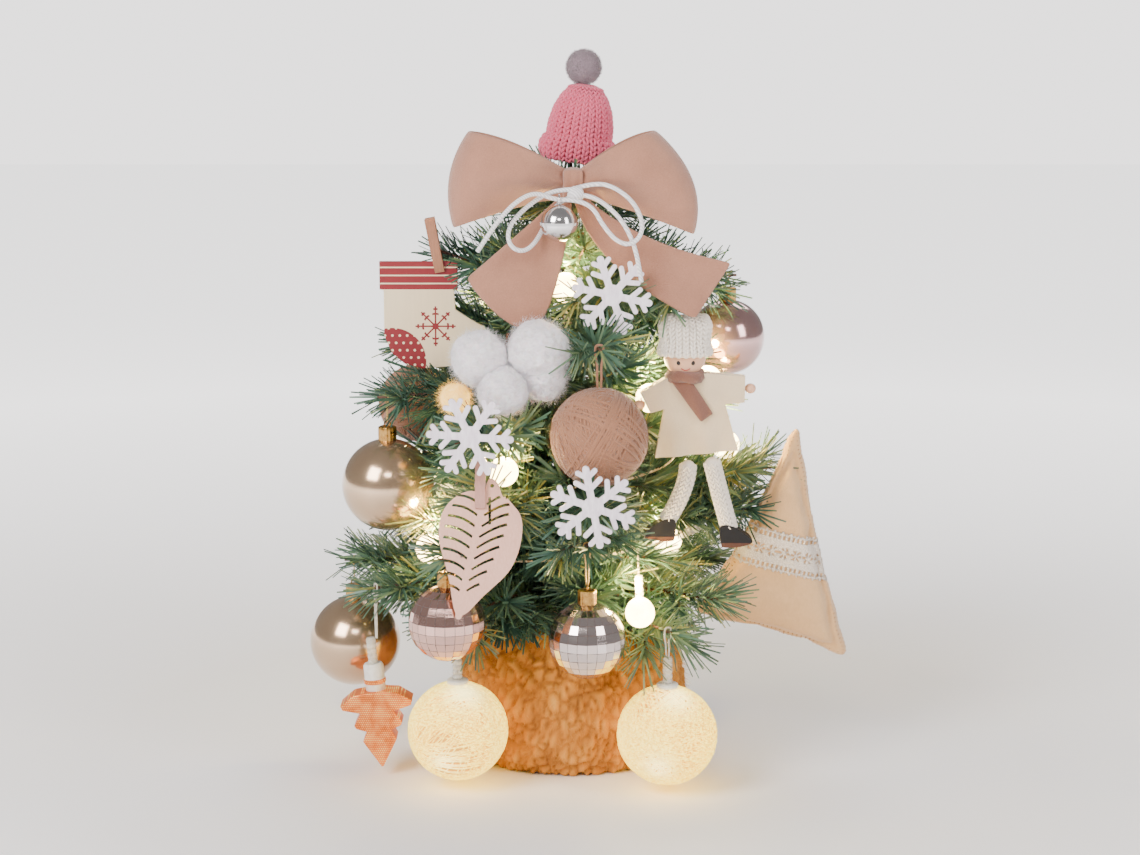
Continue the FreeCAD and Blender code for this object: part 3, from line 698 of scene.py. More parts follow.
def makeFurFinish():
    paint = Finish("curlyPile", Roughness=0.9, Sheen_Weight=0.35, Sheen_Roughness=0.5,
                   Sheen_Tint=(*shade(255, 206, 130), 1))
    tone = paint.attribute("tone")
    fibre = paint.grain(1, 4.0, place=paint.stretched((900, 900, 300)))
    # the tone's dark end is painted shade in the hollows between lumps, its light end painted light on their crests
    tan = paint.ramp(tone, (0.0, shade(128, 74, 20)), (0.4, shade(184, 118, 38)), (0.75, shade(208, 146, 58)),
                     (1.0, shade(226, 176, 92)))
    paint.set("Base_Color", paint.mixed(fibre * 0.3, tan, shade(158, 96, 34)))
    paint.set("Normal", paint.bump(fibre, 0.0003, 0.4))
    return paint


def fibreShape(bend=0.35):
    shape = bmesh.new()
    bmesh.ops.create_cone(shape, cap_ends=True, segments=3, radius1=0.5, radius2=0.15, depth=1.0)
    bmesh.ops.translate(shape, verts=shape.verts, vec=(0, 0, 0.5))
    upright = [e for e in shape.edges if abs(e.verts[0].co.z - e.verts[1].co.z) > 0.9]
    bmesh.ops.subdivide_edges(shape, edges=upright, cuts=1)
    for vert in shape.verts:
        vert.co.x += bend * 12 * vert.co.z * (1 - vert.co.z)
    return shape


# a profile with corners no further apart than step
def finer(profile, step):
    fine = [profile[0]]
    for here, there in zip(profile, profile[1:]):
        count = max(1, round(math.dist(here, there) / step))
        fine += [tuple(a + (b - a) * number / count for a, b in zip(here, there)) for number in range(1, count + 1)]
    return fine


def makePot():
    rng = np.random.default_rng(fur["seed"])
    paint = makeFurFinish()
    fleece = lathe(finer(furProfile, fur["step"]), Vector((0, 0, 0)), fur["around"])
    fleece.normal_update()
    tonesWithPaintedLight = []
    for vert in fleece.verts:
        wall = min(1, max(0, (vert.co.xy.length / mm - 56) / 8))
        cell = Vector((vert.co.x, vert.co.y, vert.co.z * fur["upright"])) / (fur["lump"] * mm)
        near = noise.voronoi(cell + noise.noise_vector(vert.co * 95) * 0.6)[0]
        lump = min(1, (near[1] - near[0]) * 1.9) ** 0.55
        drift = noise.noise(vert.co * 60)
        # the tone is painted light and shade: lighter on the lumps' crests, darker in the hollows between them, plus
        # random drift
        tonesWithPaintedLight.append(min(1, max(0, 0.10 + 0.55 * lump + 0.35 * drift)))
        vert.co += vert.normal * wall * (lump * fur["depth"] + 0.9 * drift + 0.4 * noise.noise(vert.co * 420)) * mm
        vert.co.z = max(vert.co.z, 0.0004)
    piece = meshPiece("fur_fleece", fleece, paint)
    piece.data.attributes.new("tone", "FLOAT", "POINT")
    piece.data.attributes["tone"].data.foreach_set("value", tonesWithPaintedLight)
    belong(piece, "root", "fur", "base_fur_cover")
    spots = np.array([v.co for v in piece.data.vertices])
    normals = np.array([v.normal for v in piece.data.vertices])
    wall = np.flatnonzero((np.hypot(spots[:, 0], spots[:, 1]) > 0.060) & (spots[:, 2] > 0.004))
    chosen = rng.choice(wall, fur["fibres"])
    lying = normals[chosen] * 0.55 + rng.normal(0, 0.45, (len(chosen), 3)) + np.array([0, 0, -0.55])
    scales = np.stack([np.full(len(chosen), 0.00016)] * 2 + [rng.uniform(0.003, 0.0065, len(chosen))], axis=1)
    places = framesAt(spots[chosen] - normals[chosen] * 0.0004, lying, rng.normal(size=(len(chosen), 3)), scales)
    # wisps take the fleece's tone, painted light and shade included, made lighter at random
    tone = np.clip(np.array(tonesWithPaintedLight)[chosen] + rng.uniform(0.0, 0.35, len(chosen)), 0, 1)
    wisps = stamp("fur_wisps", fibreShape(), places, paint, tone=tone)
    for vert in wisps.data.vertices:
        vert.co.z = max(vert.co.z, 0.0004)
    belong(wisps, "root", "fur", "base_fur_cover")


def makeTrunk():
    paint = Finish("trunkWrap", Roughness=0.65)
    bands = paint.node("ShaderNodeTexWave", {"wave_type": "BANDS", "bands_direction": "Z"},
                       {"Vector": paint.place(), "Scale": 90.0, "Distortion": 2.0}, "Fac")
    paint.set("Base_Color", paint.mixed(bands, shade(54, 40, 30), shade(92, 66, 46)))
    paint.set("Normal", paint.bump(bands, 0.0006, 0.7))
    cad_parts["trunk_pole"].data.materials.clear()
    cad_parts["trunk_pole"].data.materials.append(paint.material)


def makeTub():
    tub = Finish("grittyTub", Roughness=0.6)
    speck = tub.grain(700.0)
    tub.set("Base_Color", tub.ramp(speck, (0.35, shade(70, 62, 56)), (0.65, shade(92, 84, 78))))
    tub.set("Normal", tub.bump(speck, 0.0002, 0.4))
    plaster = Finish("castPlaster", Roughness=0.9)
    pits = plaster.grain(220.0, 5.0)
    plaster.set("Base_Color", plaster.ramp(pits, (0.3, shade(178, 170, 160)), (0.7, shade(214, 208, 200))))
    plaster.set("Normal", plaster.bump(pits, 0.0006, 0.8))
    for node, paint in (("base_tub", tub), ("base_ballast", plaster)):
        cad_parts[node].data.materials.clear()
        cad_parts[node].data.materials.append(paint.material)


makePot()
makeTrunk()
makeTub()
print("pot and trunk made")


# rows of V stitches; a ring is a centre, an axis, a radius and the slope of the surface in radians
def knitPlaces(rings, wales, stitch):
    points, along, sides, scales = [], [], [], []
    for centre, axis, radius, slope in rings:
        centre, axis = np.array(centre), np.array(axis) / np.linalg.norm(axis)
        across = np.cross(axis, [0, 1, 0] if abs(axis[1]) < 0.9 else [1, 0, 0])
        across /= np.linalg.norm(across)
        forward = np.cross(axis, across)
        width = 2 * math.pi * radius / wales
        for step in range(wales):
            for sign in (-1, 1):
                turn = 2 * math.pi * (step + 0.5 + sign * 0.21) / wales
                radial = across * math.cos(turn) + forward * math.sin(turn)
                round_ = -across * math.sin(turn) + forward * math.cos(turn)
                rising = axis * math.cos(slope) - radial * math.sin(slope)
                points.append(centre + radial * radius)
                along.append(rising + round_ * sign * 0.52)
                sides.append(round_)
                scales.append((width * 0.46, width * 0.66, stitch))
    return framesAt(points, along, sides, np.array(scales))


def stitchShape():
    shape = bmesh.new()
    bmesh.ops.create_uvsphere(shape, u_segments=7, v_segments=5, radius=0.5)
    return shape


def ringsOnProfile(profile, spacing, place):
    corners = [Vector((radius * mm, 0, z * mm)) for radius, z in profile]
    rings = []
    carried = spacing * mm / 2
    for low, high in zip(corners, corners[1:]):
        run = (high - low).length
        slope = math.atan2(low.x - high.x, high.z - low.z)
        while carried < run:
            at = low.lerp(high, carried / run)
            centre = place @ Vector((0, 0, at.z))
            rings.append((centre, (place.to_3x3() @ up), at.x, slope))
            carried += spacing * mm
        carried -= run
    return rings


def makeWoolFinish(name, dark, light, fuzz=0.5):
    paint = Finish(name, Roughness=0.92, Sheen_Weight=fuzz, Sheen_Roughness=0.4)
    fibre = paint.grain(1, 4.0, place=paint.stretched((1400, 1400, 500)))
    patch = paint.grain(90.0, 2.0)
    paint.set("Base_Color", paint.mixed(fibre * 0.4 + patch * 0.25, light, dark))
    paint.set("Normal", paint.bump(fibre, 0.0004, 0.8))
    return paint


# a coat of fine short fibres standing on points
def fuzz(name, points, normals, rng, length, width, lean, *finishes):
    headings = normals + rng.normal(0, lean, points.shape)
    headings /= np.linalg.norm(headings, axis=1, keepdims=True)
    reach = rng.uniform(length * 0.5, length, len(points))
    scales = np.stack([np.full(len(points), width)] * 2 + [reach], axis=1)
    return stamp(name, fibreShape(), framesAt(points, headings, rng.normal(size=points.shape), scales), *finishes)


hat = {"foot": (0.0034, -0.0035, 0.379), "lean": 8.0, "wales": 25, "row": 3.1, "brimWales": 30, "pompom": 0.0118}
crownProfile = [(19.9, 14), (19.4, 24), (17.6, 33), (14.2, 41), (9.6, 47), (4.5, 49.0)]
brimProfile = [(20.6, 1.2), (22.6, 3), (23.5, 7), (23.2, 11), (21.6, 14.6)]
hatProfile = [(18.6, 0.6), (21.4, 1.8), (22.4, 5), (22.4, 10), (21, 13.6), (19.2, 15.6), (18.6, 24), (17.1, 34),
              (14, 41.2), (8.4, 46.6), (0.05, 48.4), (0.05, 46.6), (7.5, 44.5), (12.5, 40), (15.4, 33), (16.4, 24),
              (16.9, 12), (17.4, 2)]


def makeHat():
    place = Matrix.Translation(hat["foot"]) @ Matrix.Rotation(math.radians(hat["lean"]), 4, "Y")
    pink = makeWoolFinish("roseWool", shade(180, 54, 84), shade(234, 112, 138))
    shell = lathe(hatProfile, Vector((0, 0, 0)), 48, closed=True)
    bmesh.ops.transform(shell, matrix=place, verts=shell.verts)
    belong(meshPiece("hat_lining", shell, pink), "hat", "pink_knit", "hat_knit")
    crown = knitPlaces(ringsOnProfile(crownProfile, hat["row"], place), hat["wales"], 0.0052)
    brim = knitPlaces(ringsOnProfile(brimProfile, hat["row"], place), hat["brimWales"], 0.0048)
    belong(stamp("hat_stitches", stitchShape(), np.concatenate([crown, brim]), pink), "hat", "pink_knit", "hat_knit")

    rng = np.random.default_rng(3)
    grey = makeWoolFinish("mauvePompom", shade(102, 84, 92), shade(156, 136, 144), 0.8)
    middle = Vector((0.0086, -0.0035, 0.438))
    core = bmesh.new()
    bmesh.ops.create_icosphere(core, subdivisions=4, radius=hat["pompom"] * 0.88)
    bmesh.ops.translate(core, verts=core.verts, vec=middle)
    belong(meshPiece("pompom_core", core, grey), "hat", "grey_pompom", "hat_pompom")
    ways = randomDirections(rng, 6500)
    points = np.array(middle) + ways * hat["pompom"] * 0.84
    piece = fuzz("pompom_fibres", points, ways, rng, 0.0024, 0.00022, 0.5, grey)
    belong(piece, "hat", "grey_pompom", "hat_pompom")


makeHat()
print("hat made")

# felt bow; outlines are in millimetres, in X and Z
bow = {"middle": (1.8, -58, 369), "felt": 0.002, "slope": 0.30}
leftLoop = {"fold": [(-71, 343), (-73.2, 374), (-61, 402)], "side": -1, "rise": (1.5, 4.2)}
rightLoop = {"fold": [(75.5, 339), (74.3, 372), (51, 402.5)], "side": 1, "rise": (1.5, 4.2)}
loopPlan = [(0.0, -3), (0.18, -5.6), (0.36, -8.6), (0.54, -11), (0.72, -12.2), (0.88, -11), (0.97, -7),
            (1.0, -1.5), (0.985, 4), (0.90, 9), (0.74, 10.6), (0.56, 10), (0.36, 7.5), (0.18, 5), (0.0, 3)]
leftTail = {"inner": [(1, 360), (-3, 330), (-12, 298.3)], "outer": [(-6, 362), (-34, 338), (-63.3, 313.7)],
            "end": [(-12, 298.3), (-31.2, 284.9), (-63.3, 313.7)]}
rightTail = {"inner": [(2.5, 360), (25.4, 322.8), (75, 289.8)], "outer": [(9, 362), (47.2, 338.1), (97.7, 323.2)],
             "end": [(75, 289.8), (86.4, 306.5), (97.7, 323.2)]}


def alongLine(points, share):
    places = np.linspace(0, 1, len(points))
    bends = np.polyfit(places, np.array(points, float), len(points) - 1)
    return np.array([np.polyval(bend, share) for bend in bends.T])


def makeFeltFinish(name, dark, light, fuzzSize=1100.0):
    paint = Finish(name, Roughness=0.95, Sheen_Weight=0.35, Sheen_Roughness=0.6)
    hair = paint.grain(fuzzSize, 5.0, 0.75)
    cloud = paint.grain(60.0, 3.0)
    paint.set("Base_Color", paint.mixed(hair * 0.6 + cloud * 0.4, light, dark))
    paint.set("Normal", paint.bump(hair, 0.0006, 0.8, under=paint.bump(cloud, 0.0016, 0.4)))
    return paint


def gridPiece(name, columns, rows, place, *finishes):
    shape = bmesh.new()
    bmesh.ops.create_grid(shape, x_segments=columns, y_segments=rows, size=0.5)
    for vert in shape.verts:
        vert.co = place(vert.co.x + 0.5, vert.co.y + 0.5)
    return meshPiece(name, shape, *finishes)


def feltThick(piece, offset):
    addModifier(piece, "SOLIDIFY", thickness=bow["felt"], offset=offset)
    addModifier(piece, "SUBSURF", levels=2, render_levels=2)
    settle(piece)
    shape = bmesh.new()
    shape.from_mesh(piece.data)
    bmesh.ops.recalc_face_normals(shape, faces=shape.faces)
    shape.to_mesh(piece.data)
    shape.free()
    return piece


def makeLoop(name, loop, paint):
    midX, midY, midZ = bow["middle"]
    plan = np.array(loopPlan)

    def place(share, across):
        spot = share * (len(plan) - 1)
        reach = np.interp(spot, range(len(plan)), plan[:, 0])
        depth = np.interp(spot, range(len(plan)), plan[:, 1])
        outerX, outerZ = alongLine(loop["fold"], across)
        heartX, heartZ = midX + loop["side"] * 2, midZ - 7 + 14 * across
        rise = 4 * reach * (1 - reach) * (loop["rise"][0] * (1 - across) + loop["rise"][1] * across)
        front = 1 if share < 0.5 else -1
        pleat = math.sin(across * math.pi * 3) * 2.2 * (1 - reach) ** 1.4 * front
        roll = (0.5 - across) * 24 * (1 - reach) * min(1, 4 * reach) * (front > 0)
        x = heartX + (outerX - heartX) * reach
        z = heartZ + (outerZ - heartZ) * reach + rise
        sag = 6.5 * math.sin(across * math.pi) * math.sin(reach * math.pi) ** 0.7
        y = midY + (depth - sag * front) * (0.35 + 0.65 * min(1, reach * 3)) + pleat + roll
        return Vector((x, y, z)) * mm

    return feltThick(gridPiece(name, 28, 12, place, paint), -1 * loop["side"])


def makeTail(name, tail, paint, wave):
    def place(down, across):
        inner, outer = alongLine(tail["inner"], down), alongLine(tail["outer"], down)
        flat = inner + (outer - inner) * across
        foot = alongLine(tail["inner"], 1) * (1 - across) + alongLine(tail["outer"], 1) * across
        x, z = flat + (alongLine(tail["end"], across) - foot) * down ** 3
        ripple = wave * math.sin(across * 5.2 + down * 1.6) * down
        crease = 0.9 * math.sin(across * 11) * (1 - down) ** 2
        return Vector((x, bow["middle"][1] - (362 - z) * bow["slope"] + 1.0 + ripple + crease, z)) * mm

    return feltThick(gridPiece(name, 16, 10, place, paint), 0)


def makeBow():
    paint = makeFeltFinish("duskyFelt", shade(124, 78, 58), shade(192, 136, 108))
    for name, loop in (("bow_loop_left", leftLoop), ("bow_loop_right", rightLoop)):
        piece = belong(makeLoop(name, loop, paint), "root", "dusty_felt", "bow_loops")
    for name, tail, wave in (("bow_tail_left", leftTail, 1.1), ("bow_tail_right", rightTail, -1.3)):
        piece = belong(makeTail(name, tail, paint, wave), "root", "dusty_felt", "bow_tails")
    band = bmesh.new()
    bmesh.ops.create_cube(band, size=1.0)
    bmesh.ops.subdivide_edges(band, edges=band.edges, cuts=7, use_grid_fill=True)
    for vert in band.verts:
        soft = vert.co.normalized() * 0.5
        vert.co = vert.co.lerp(soft, 0.42)
        vert.co.y *= 1 + 0.10 * math.sin(vert.co.x * 16) * (1 if vert.co.y < 0 else 0)
        vert.co.x *= 0.90 + 0.35 * vert.co.z ** 2
    bmesh.ops.scale(band, verts=band.verts, vec=(0.0145, 0.0145, 0.0215))
    bmesh.ops.translate(band, verts=band.verts, vec=Vector(bow["middle"]) * mm)
    belong(rounded(meshPiece("bow_middle_wrap", band, paint)), "root", "dusty_felt", "bow_band")


makeBow()
print("bow made")


def refined(name, node, *finishes, edge=0.0003, angle=35.0, segments=2):
    shape = joinedCopy(node, 0.6)
    bmesh.ops.recalc_face_normals(shape, faces=shape.faces)
    piece = meshPiece(name, shape, *finishes)
    piece.data.set_sharp_from_angle(angle=math.radians(angle))
    if edge:
        addModifier(piece, "BEVEL", width=edge, segments=segments, limit_method="ANGLE",
                    angle_limit=math.radians(angle))
        settle(piece)
    return piece


def makeMetal(name, colour, rough=0.2, scratch=0.0):
    paint = Finish(name, Metallic=1.0)
    haze = paint.grain(1, 3.0, place=paint.stretched((60, 60, 900)))
    paint.set("Base_Color", paint.mixed(haze * 0.35, colour, tuple(part * 0.7 for part in colour)))
    paint.set("Roughness", paint.range(haze, 0.3, 0.7, rough, rough + 0.12 + scratch))
    return paint


def makeBell():
    chrome = makeMetal("bellChrome", shade(226, 224, 224), 0.08)
    belong(refined("jingle_bell", "bell_shell", chrome, edge=0.00015), "bell", "bell_chrome", "bell_shell")
    steel = makeMetal("pelletSteel", shade(150, 148, 146), 0.3)
    belong(refined("bell_ball", "bell_pellet", steel, edge=0), "bell_pellet", "pellet_steel", "bell_pellet")


makeBell()
print("bell made")


# hanging ornaments: middle, radius and height of the wire that each hangs on, in millimetres
hung = {
    "left_bauble": ((-113, -48, 183), 28.6, 238),
    "lower_bauble": ((-138.5, -10, 73), 29.0, 126),
    "rear_bauble": ((102, 35, 264), 24.4, 304),
    "left_disco_ball": ((-73.5, -117, 112.6), 23.0, 152),
    "right_disco_ball": ((10.2, -112, 100.4), 23.1, 158),
    "front_yarn_ball": ((17.3, -102, 222.4), 30.0, 275),
    "side_yarn_ball": ((-98, 8, 225), 25.0, 264),
    "cotton_light_left": ((-68.9, -88, 36.8), 31.0, 104),
    "cotton_light_right": ((59.4, -95, 36.2), 31.0, 101),
    "tree_lamp": ((-120.5, -61, 45), 25.0, 120),
}
thread = {"silk": 0.4, "yarn": 0.7, "lead": 0.6, "wire": 1.2, "slack": 0.5}


def hungPlace(node):
    middle, radius, hook = hung[node]
    middle = Vector(middle) * mm
    outwards = Vector((middle.x, middle.y, 0)).normalized()
    return middle, radius * mm, Vector((middle.x, middle.y, hook * mm)), outwards


# a thread that goes up from an eye, over the wire and down again
def loopThread(name, pivot, outwards, footZ, thick, paint, twist=0.0):
    side = outwards.cross(up)
    around = (thread["wire"] + thread["slack"] + thick) * mm
    gap = (thick + 0.2) * mm
    drop = pivot.z - footZ

    def at(across, height):
        return pivot + side * across + up * height

    route = [at(gap, -drop), at(gap * 1.6, -drop * 0.72), at(gap * 1.2 + twist * mm, -drop * 0.4),
             at(around * 1.0, -around * 1.6), at(around * 1.06, around * 0.35), at(around * 0.72, around * 1.12),
             at(-around * 0.72, around * 1.12), at(-around * 1.06, around * 0.35), at(-around * 1.0, -around * 1.6),
             at(-gap * 1.2 + twist * mm, -drop * 0.4), at(-gap * 1.6, -drop * 0.72), at(-gap, -drop)]
    return curvePiece(name, [route], thick * mm, paint, resolution=2)


def makeGold():
    gold = Finish("goldCap", Metallic=1.0)
    wear = gold.grain(240.0, 4.0)
    gold.set("Base_Color", gold.ramp(wear, (0.3, shade(140, 96, 44)), (0.7, shade(212, 168, 96))))
    gold.set("Roughness", gold.range(wear, 0.3, 0.7, 0.2, 0.42))
    return gold


def makeSilk():
    silk = Finish("goldThread", Roughness=0.35, Metallic=0.6)
    twist = silk.grain(1600.0, 1.0)
    silk.set("Base_Color", silk.ramp(twist, (0.35, shade(150, 112, 60)), (0.65, shade(222, 188, 120))))
    return silk


# a crimped cap: fluted wall, scalloped foot and a wire eye on top
def capShape(top, radius, height, outwards):
    flutes = 16
    shape = bmesh.new()
    bmesh.ops.create_cone(shape, cap_ends=True, segments=flutes * 4, radius1=radius, radius2=radius, depth=height)
    upright = [e for e in shape.edges if abs(e.verts[0].co.z - e.verts[1].co.z) > height * 0.9]
    bmesh.ops.subdivide_edges(shape, edges=upright, cuts=4)
    lid = max(shape.faces, key=lambda face: face.calc_center_median().z)
    bmesh.ops.inset_region(shape, faces=[lid], thickness=radius * 0.22, depth=radius * 0.12)
    for vert in shape.verts:
        turn = math.atan2(vert.co.y, vert.co.x)
        flute = math.cos(turn * flutes)
        if math.hypot(vert.co.x, vert.co.y) > radius * 0.9:
            vert.co.xy *= 1 + 0.035 * flute
        if vert.co.z < -height * 0.45:
            vert.co.z += height * 0.10 * flute
    edges = [e for e in shape.edges if e.is_manifold and e.calc_face_angle() > 0.9 and e.verts[0].co.z > 0]
    bmesh.ops.bevel(shape, geom=edges, offset=radius * 0.06, affect="EDGES", segments=2, profile=0.5, material=-1)
    bmesh.ops.translate(shape, verts=shape.verts, vec=top - up * height / 2)
    eye = bmesh.new()
    bmesh.ops.create_circle(eye, segments=8, radius=0.0005)
    bmesh.ops.rotate(eye, verts=eye.verts, matrix=Matrix.Rotation(math.pi / 2, 3, "X"))
    bmesh.ops.translate(eye, verts=eye.verts, vec=(0.002, 0, 0))
    bmesh.ops.spin(eye, geom=eye.verts[:] + eye.edges[:], axis=up, cent=(0, 0, 0), angle=2 * math.pi, steps=24,
                   use_merge=True)
    bmesh.ops.recalc_face_normals(eye, faces=eye.faces)
    stand = Vector(outwards.cross(up)).to_track_quat("Z", "Y").to_matrix().to_4x4()
    bmesh.ops.transform(eye, matrix=Matrix.Translation(top + up * 0.0016) @ stand, verts=eye.verts)
    mesh = bpy.data.meshes.new("eye")
    eye.to_mesh(mesh)
    eye.free()
    shape.from_mesh(mesh)
    bpy.data.meshes.remove(mesh)
    bmesh.ops.recalc_face_normals(shape, faces=shape.faces)
    return shape


def addCap(node, gold, silk):
    middle, radius, pivot, outwards = hungPlace(node)
    top = middle + up * (radius + 0.0075)
    cap = meshPiece(node + "_crown", capShape(top, 0.0055, 0.0092, outwards), gold)
    cap.data.set_sharp_from_angle(angle=math.radians(50))
    belong(cap, node, "gold_cap", node + "_cap")
    loop = loopThread(node + "_thread", pivot, outwards, top.z + 0.0033, thread["silk"], silk)
    belong(loop, node, "gold_cap", node + "_cap")


def makePearl(name, body, deep, rough):
    paint = Finish(name, Coat_Weight=0.8, Coat_Roughness=0.05, Specular_IOR_Level=0.6, Metallic=0.88)
    swirl = paint.grain(38.0, 4.0, distortion=1.2)
    dust = paint.grain(2600.0, 2.0)
    paint.set("Base_Color", paint.mixed(swirl * 0.5, body, deep))
    paint.set("Roughness", paint.range(dust, 0.3, 0.7, rough, rough + 0.1))
    paint.set("Normal", paint.bump(dust, 0.00004, 0.3))
    return paint


def makeBauble(node, paint, slot):
    middle, radius, pivot, outwards = hungPlace(node)
    ball = bmesh.new()
    bmesh.ops.create_uvsphere(ball, u_segments=72, v_segments=48, radius=radius)
    bmesh.ops.translate(ball, verts=ball.verts, vec=middle)
    belong(meshPiece(node + "_glass", ball, paint), node, slot, node)


# mirror tiles, each a little off its neighbours, in a darker grout
def makeDiscoBall(node, mirror, grout, slot, rng):
    middle, radius, pivot, outwards = hungPlace(node)
    ball = bmesh.new()
    bmesh.ops.create_uvsphere(ball, u_segments=24, v_segments=13, radius=radius)
    tiles = ball.faces[:]
    bmesh.ops.inset_individual(ball, faces=tiles, thickness=0.00018, depth=0.00016)
    for face in ball.faces:
        face.material_index = 1
    for face in tiles:
        face.material_index = 0
        centre = face.calc_center_median()
        turn = Matrix.Rotation(rng.normal(0, 0.05), 3, Vector(randomDirections(rng, 1)[0]))
        bmesh.ops.rotate(ball, verts=face.verts, cent=centre, matrix=turn)
    bmesh.ops.translate(ball, verts=ball.verts, vec=middle)
    bmesh.ops.recalc_face_normals(ball, faces=ball.faces)
    belong(meshPiece(node + "_tiles", ball, mirror, grout, smooth=False), node, slot, node)


def ringShape(segments, sides, thick):
    shape = bmesh.new()
    bmesh.ops.create_circle(shape, segments=sides, radius=thick)
    bmesh.ops.rotate(shape, verts=shape.verts, matrix=Matrix.Rotation(math.pi / 2, 3, "X"))
    bmesh.ops.translate(shape, verts=shape.verts, vec=(1, 0, 0))
    bmesh.ops.spin(shape, geom=shape.verts[:] + shape.edges[:], axis=up, cent=(0, 0, 0), angle=2 * math.pi,
                   steps=segments, use_merge=True)
    bmesh.ops.recalc_face_normals(shape, faces=shape.faces)
    return shape


# strands wound round a ball in groups that lie side by side
def windings(middle, radius, groups, strands, gap, rng, depth):
    points, along, scales = [], [], []
    for group in range(groups):
        axis = randomDirections(rng, 1)[0]
        reach = radius - depth * (1 - (group + 1) / groups)
        for strand in range(strands):
            off = (strand - (strands - 1) / 2) * gap * rng.uniform(0.85, 1.15)
            tilt = axis + rng.normal(0, 0.03, 3)
            points.append(np.array(middle) + tilt * off)
            along.append(tilt)
            ring = math.sqrt(max(reach ** 2 - off ** 2, 1e-8))
            scales.append((ring, ring, ring))
    return framesAt(points, along, rng.normal(size=(len(points), 3)), np.array(scales))


def makeYarnBall(node, paint, rng):
    middle, radius, pivot, outwards = hungPlace(node)
    core = bmesh.new()
    bmesh.ops.create_icosphere(core, subdivisions=4, radius=radius * 0.945)
    bmesh.ops.translate(core, verts=core.verts, vec=middle)
    belong(meshPiece(node + "_core", core, paint), node, "mohair", node)
    thick = 0.00085 / radius
    places = windings(middle, radius - 0.0009, 26, 6, 0.0017, rng, 0.0011)
    strands = stamp(node + "_strands", ringShape(40, 5, thick), places, paint)
    belong(strands, node, "mohair", node)
    ways = randomDirections(rng, 5200)
    halo = fuzz(node + "_halo", np.array(middle) + ways * (radius - 0.0012), ways, rng, 0.0032, 0.00009, 1.1, paint)
    belong(halo, node, "mohair", node)
    loop = loopThread(node + "_tie", pivot, outwards, middle.z + radius - 0.002, thread["yarn"], paint)
    belong(loop, node, "mohair", node)


def makeGlowThread():
    paint = Finish("gluedThread", Roughness=0.7)
    weave = paint.grain(1, 2.0, place=paint.stretched((640, 640, 1300)))
    hot = paint.attribute("tone")
    colour = paint.ramp(weave, (0.42, shade(176, 120, 10)), (0.50, shade(218, 184, 40)), (0.58, shade(234, 214, 88)))
    paint.set("Base_Color", paint.mixed(weave, shade(216, 180, 84), shade(244, 222, 140)))
    paint.set("Emission_Color", paint.mixed(hot, colour, shade(255, 244, 168)))
    paint.set("Emission_Strength", 3.4)
    return paint


def makeGlowShell():
    paint = Finish("glowingShell", Roughness=0.8)
    soft = paint.grain(45.0, 3.0)
    paint.set("Base_Color", shade(214, 156, 70))
    paint.set("Emission_Color", paint.ramp(soft, (0.3, shade(255, 170, 40)), (0.7, shade(255, 200, 76))))
    paint.set("Emission_Strength", 0.7)
    return paint


def makeClearPlastic():
    paint = Finish("clearSocket", Roughness=0.18, Specular_IOR_Level=0.6, Coat_Weight=0.4)
    mist = paint.grain(500.0)
    paint.set("Base_Color", paint.ramp(mist, (0.3, shade(214, 208, 192)), (0.7, shade(240, 236, 224))))
    paint.set("Alpha", paint.range(mist, 0.3, 0.7, 0.55, 0.72))
    return paint


# a ribbed socket, from foot to top, as (radius, height) steps
def socketShape(foot, radius, length):
    profile = [(0.02, 0)]
    ribs = 5
    for rib in range(ribs):
        low = length * 1000 * rib / ribs
        high = length * 1000 * (rib + 1) / ribs
        profile += [(radius * 1000, low + 0.15), (radius * 1000, high - 1.0), (radius * 860, high - 0.7),
                    (radius * 860, high - 0.15)]
    profile += [(radius * 600, length * 1000), (0.02, length * 1000)]
    return lathe(profile, foot, 24)


def makeCottonLight(node, glow, shellPaint, white, clear, rng):
    middle, radius, pivot, outwards = hungPlace(node)
    shell = bmesh.new()
    bmesh.ops.create_icosphere(shell, subdivisions=5, radius=radius - 0.0010)
    bmesh.ops.translate(shell, verts=shell.verts, vec=middle)
    belong(meshPiece(node + "_shell", shell, shellPaint), node, "thread_ball", node)
    thick = 0.0004 / radius
    places = windings(middle, radius - 0.0004, 30, 7, 0.0021, rng, 0.0005)
    threads = stamp(node + "_threads", ringShape(36, 3, thick), places, glow, tone=np.zeros(len(places)))
    spots = np.array([v.co for v in threads.data.vertices]) - np.array(middle)
    heat = np.zeros(len(spots))
    for place, spread, power in (((0.004, -0.012, 0.026), 0.010, 1.0), ((-0.006, -0.026, -0.012), 0.008, 0.8)):
        heat += power * np.exp(-((spots - place) ** 2).sum(axis=1) / spread ** 2)
    threads.data.attributes["tone"].data.foreach_set("value", heat.clip(0, 1).astype(np.float32))
    belong(threads, node, "thread_ball", node)
    collar = lathe([(0.02, -1.5), (6.3, -1.5), (6.6, -0.9), (6.6, 0.9), (6.0, 1.5), (0.02, 1.5)],
                   middle + up * radius, 32)
    belong(meshPiece(node + "_collar", collar, white), node, "thread_ball", node)
    socket = socketShape(middle + up * (radius + 0.0015), 0.003, 0.0165)
    belong(meshPiece(node + "_socket", socket, clear), node, "clear_socket", node)
    for wire, twist in (("lead", 0.5),):
        loop = loopThread(f"{node}_{wire}", pivot, outwards, middle.z + radius + 0.018, thread["lead"], clear, twist)
        belong(loop, node, "clear_wire", node)


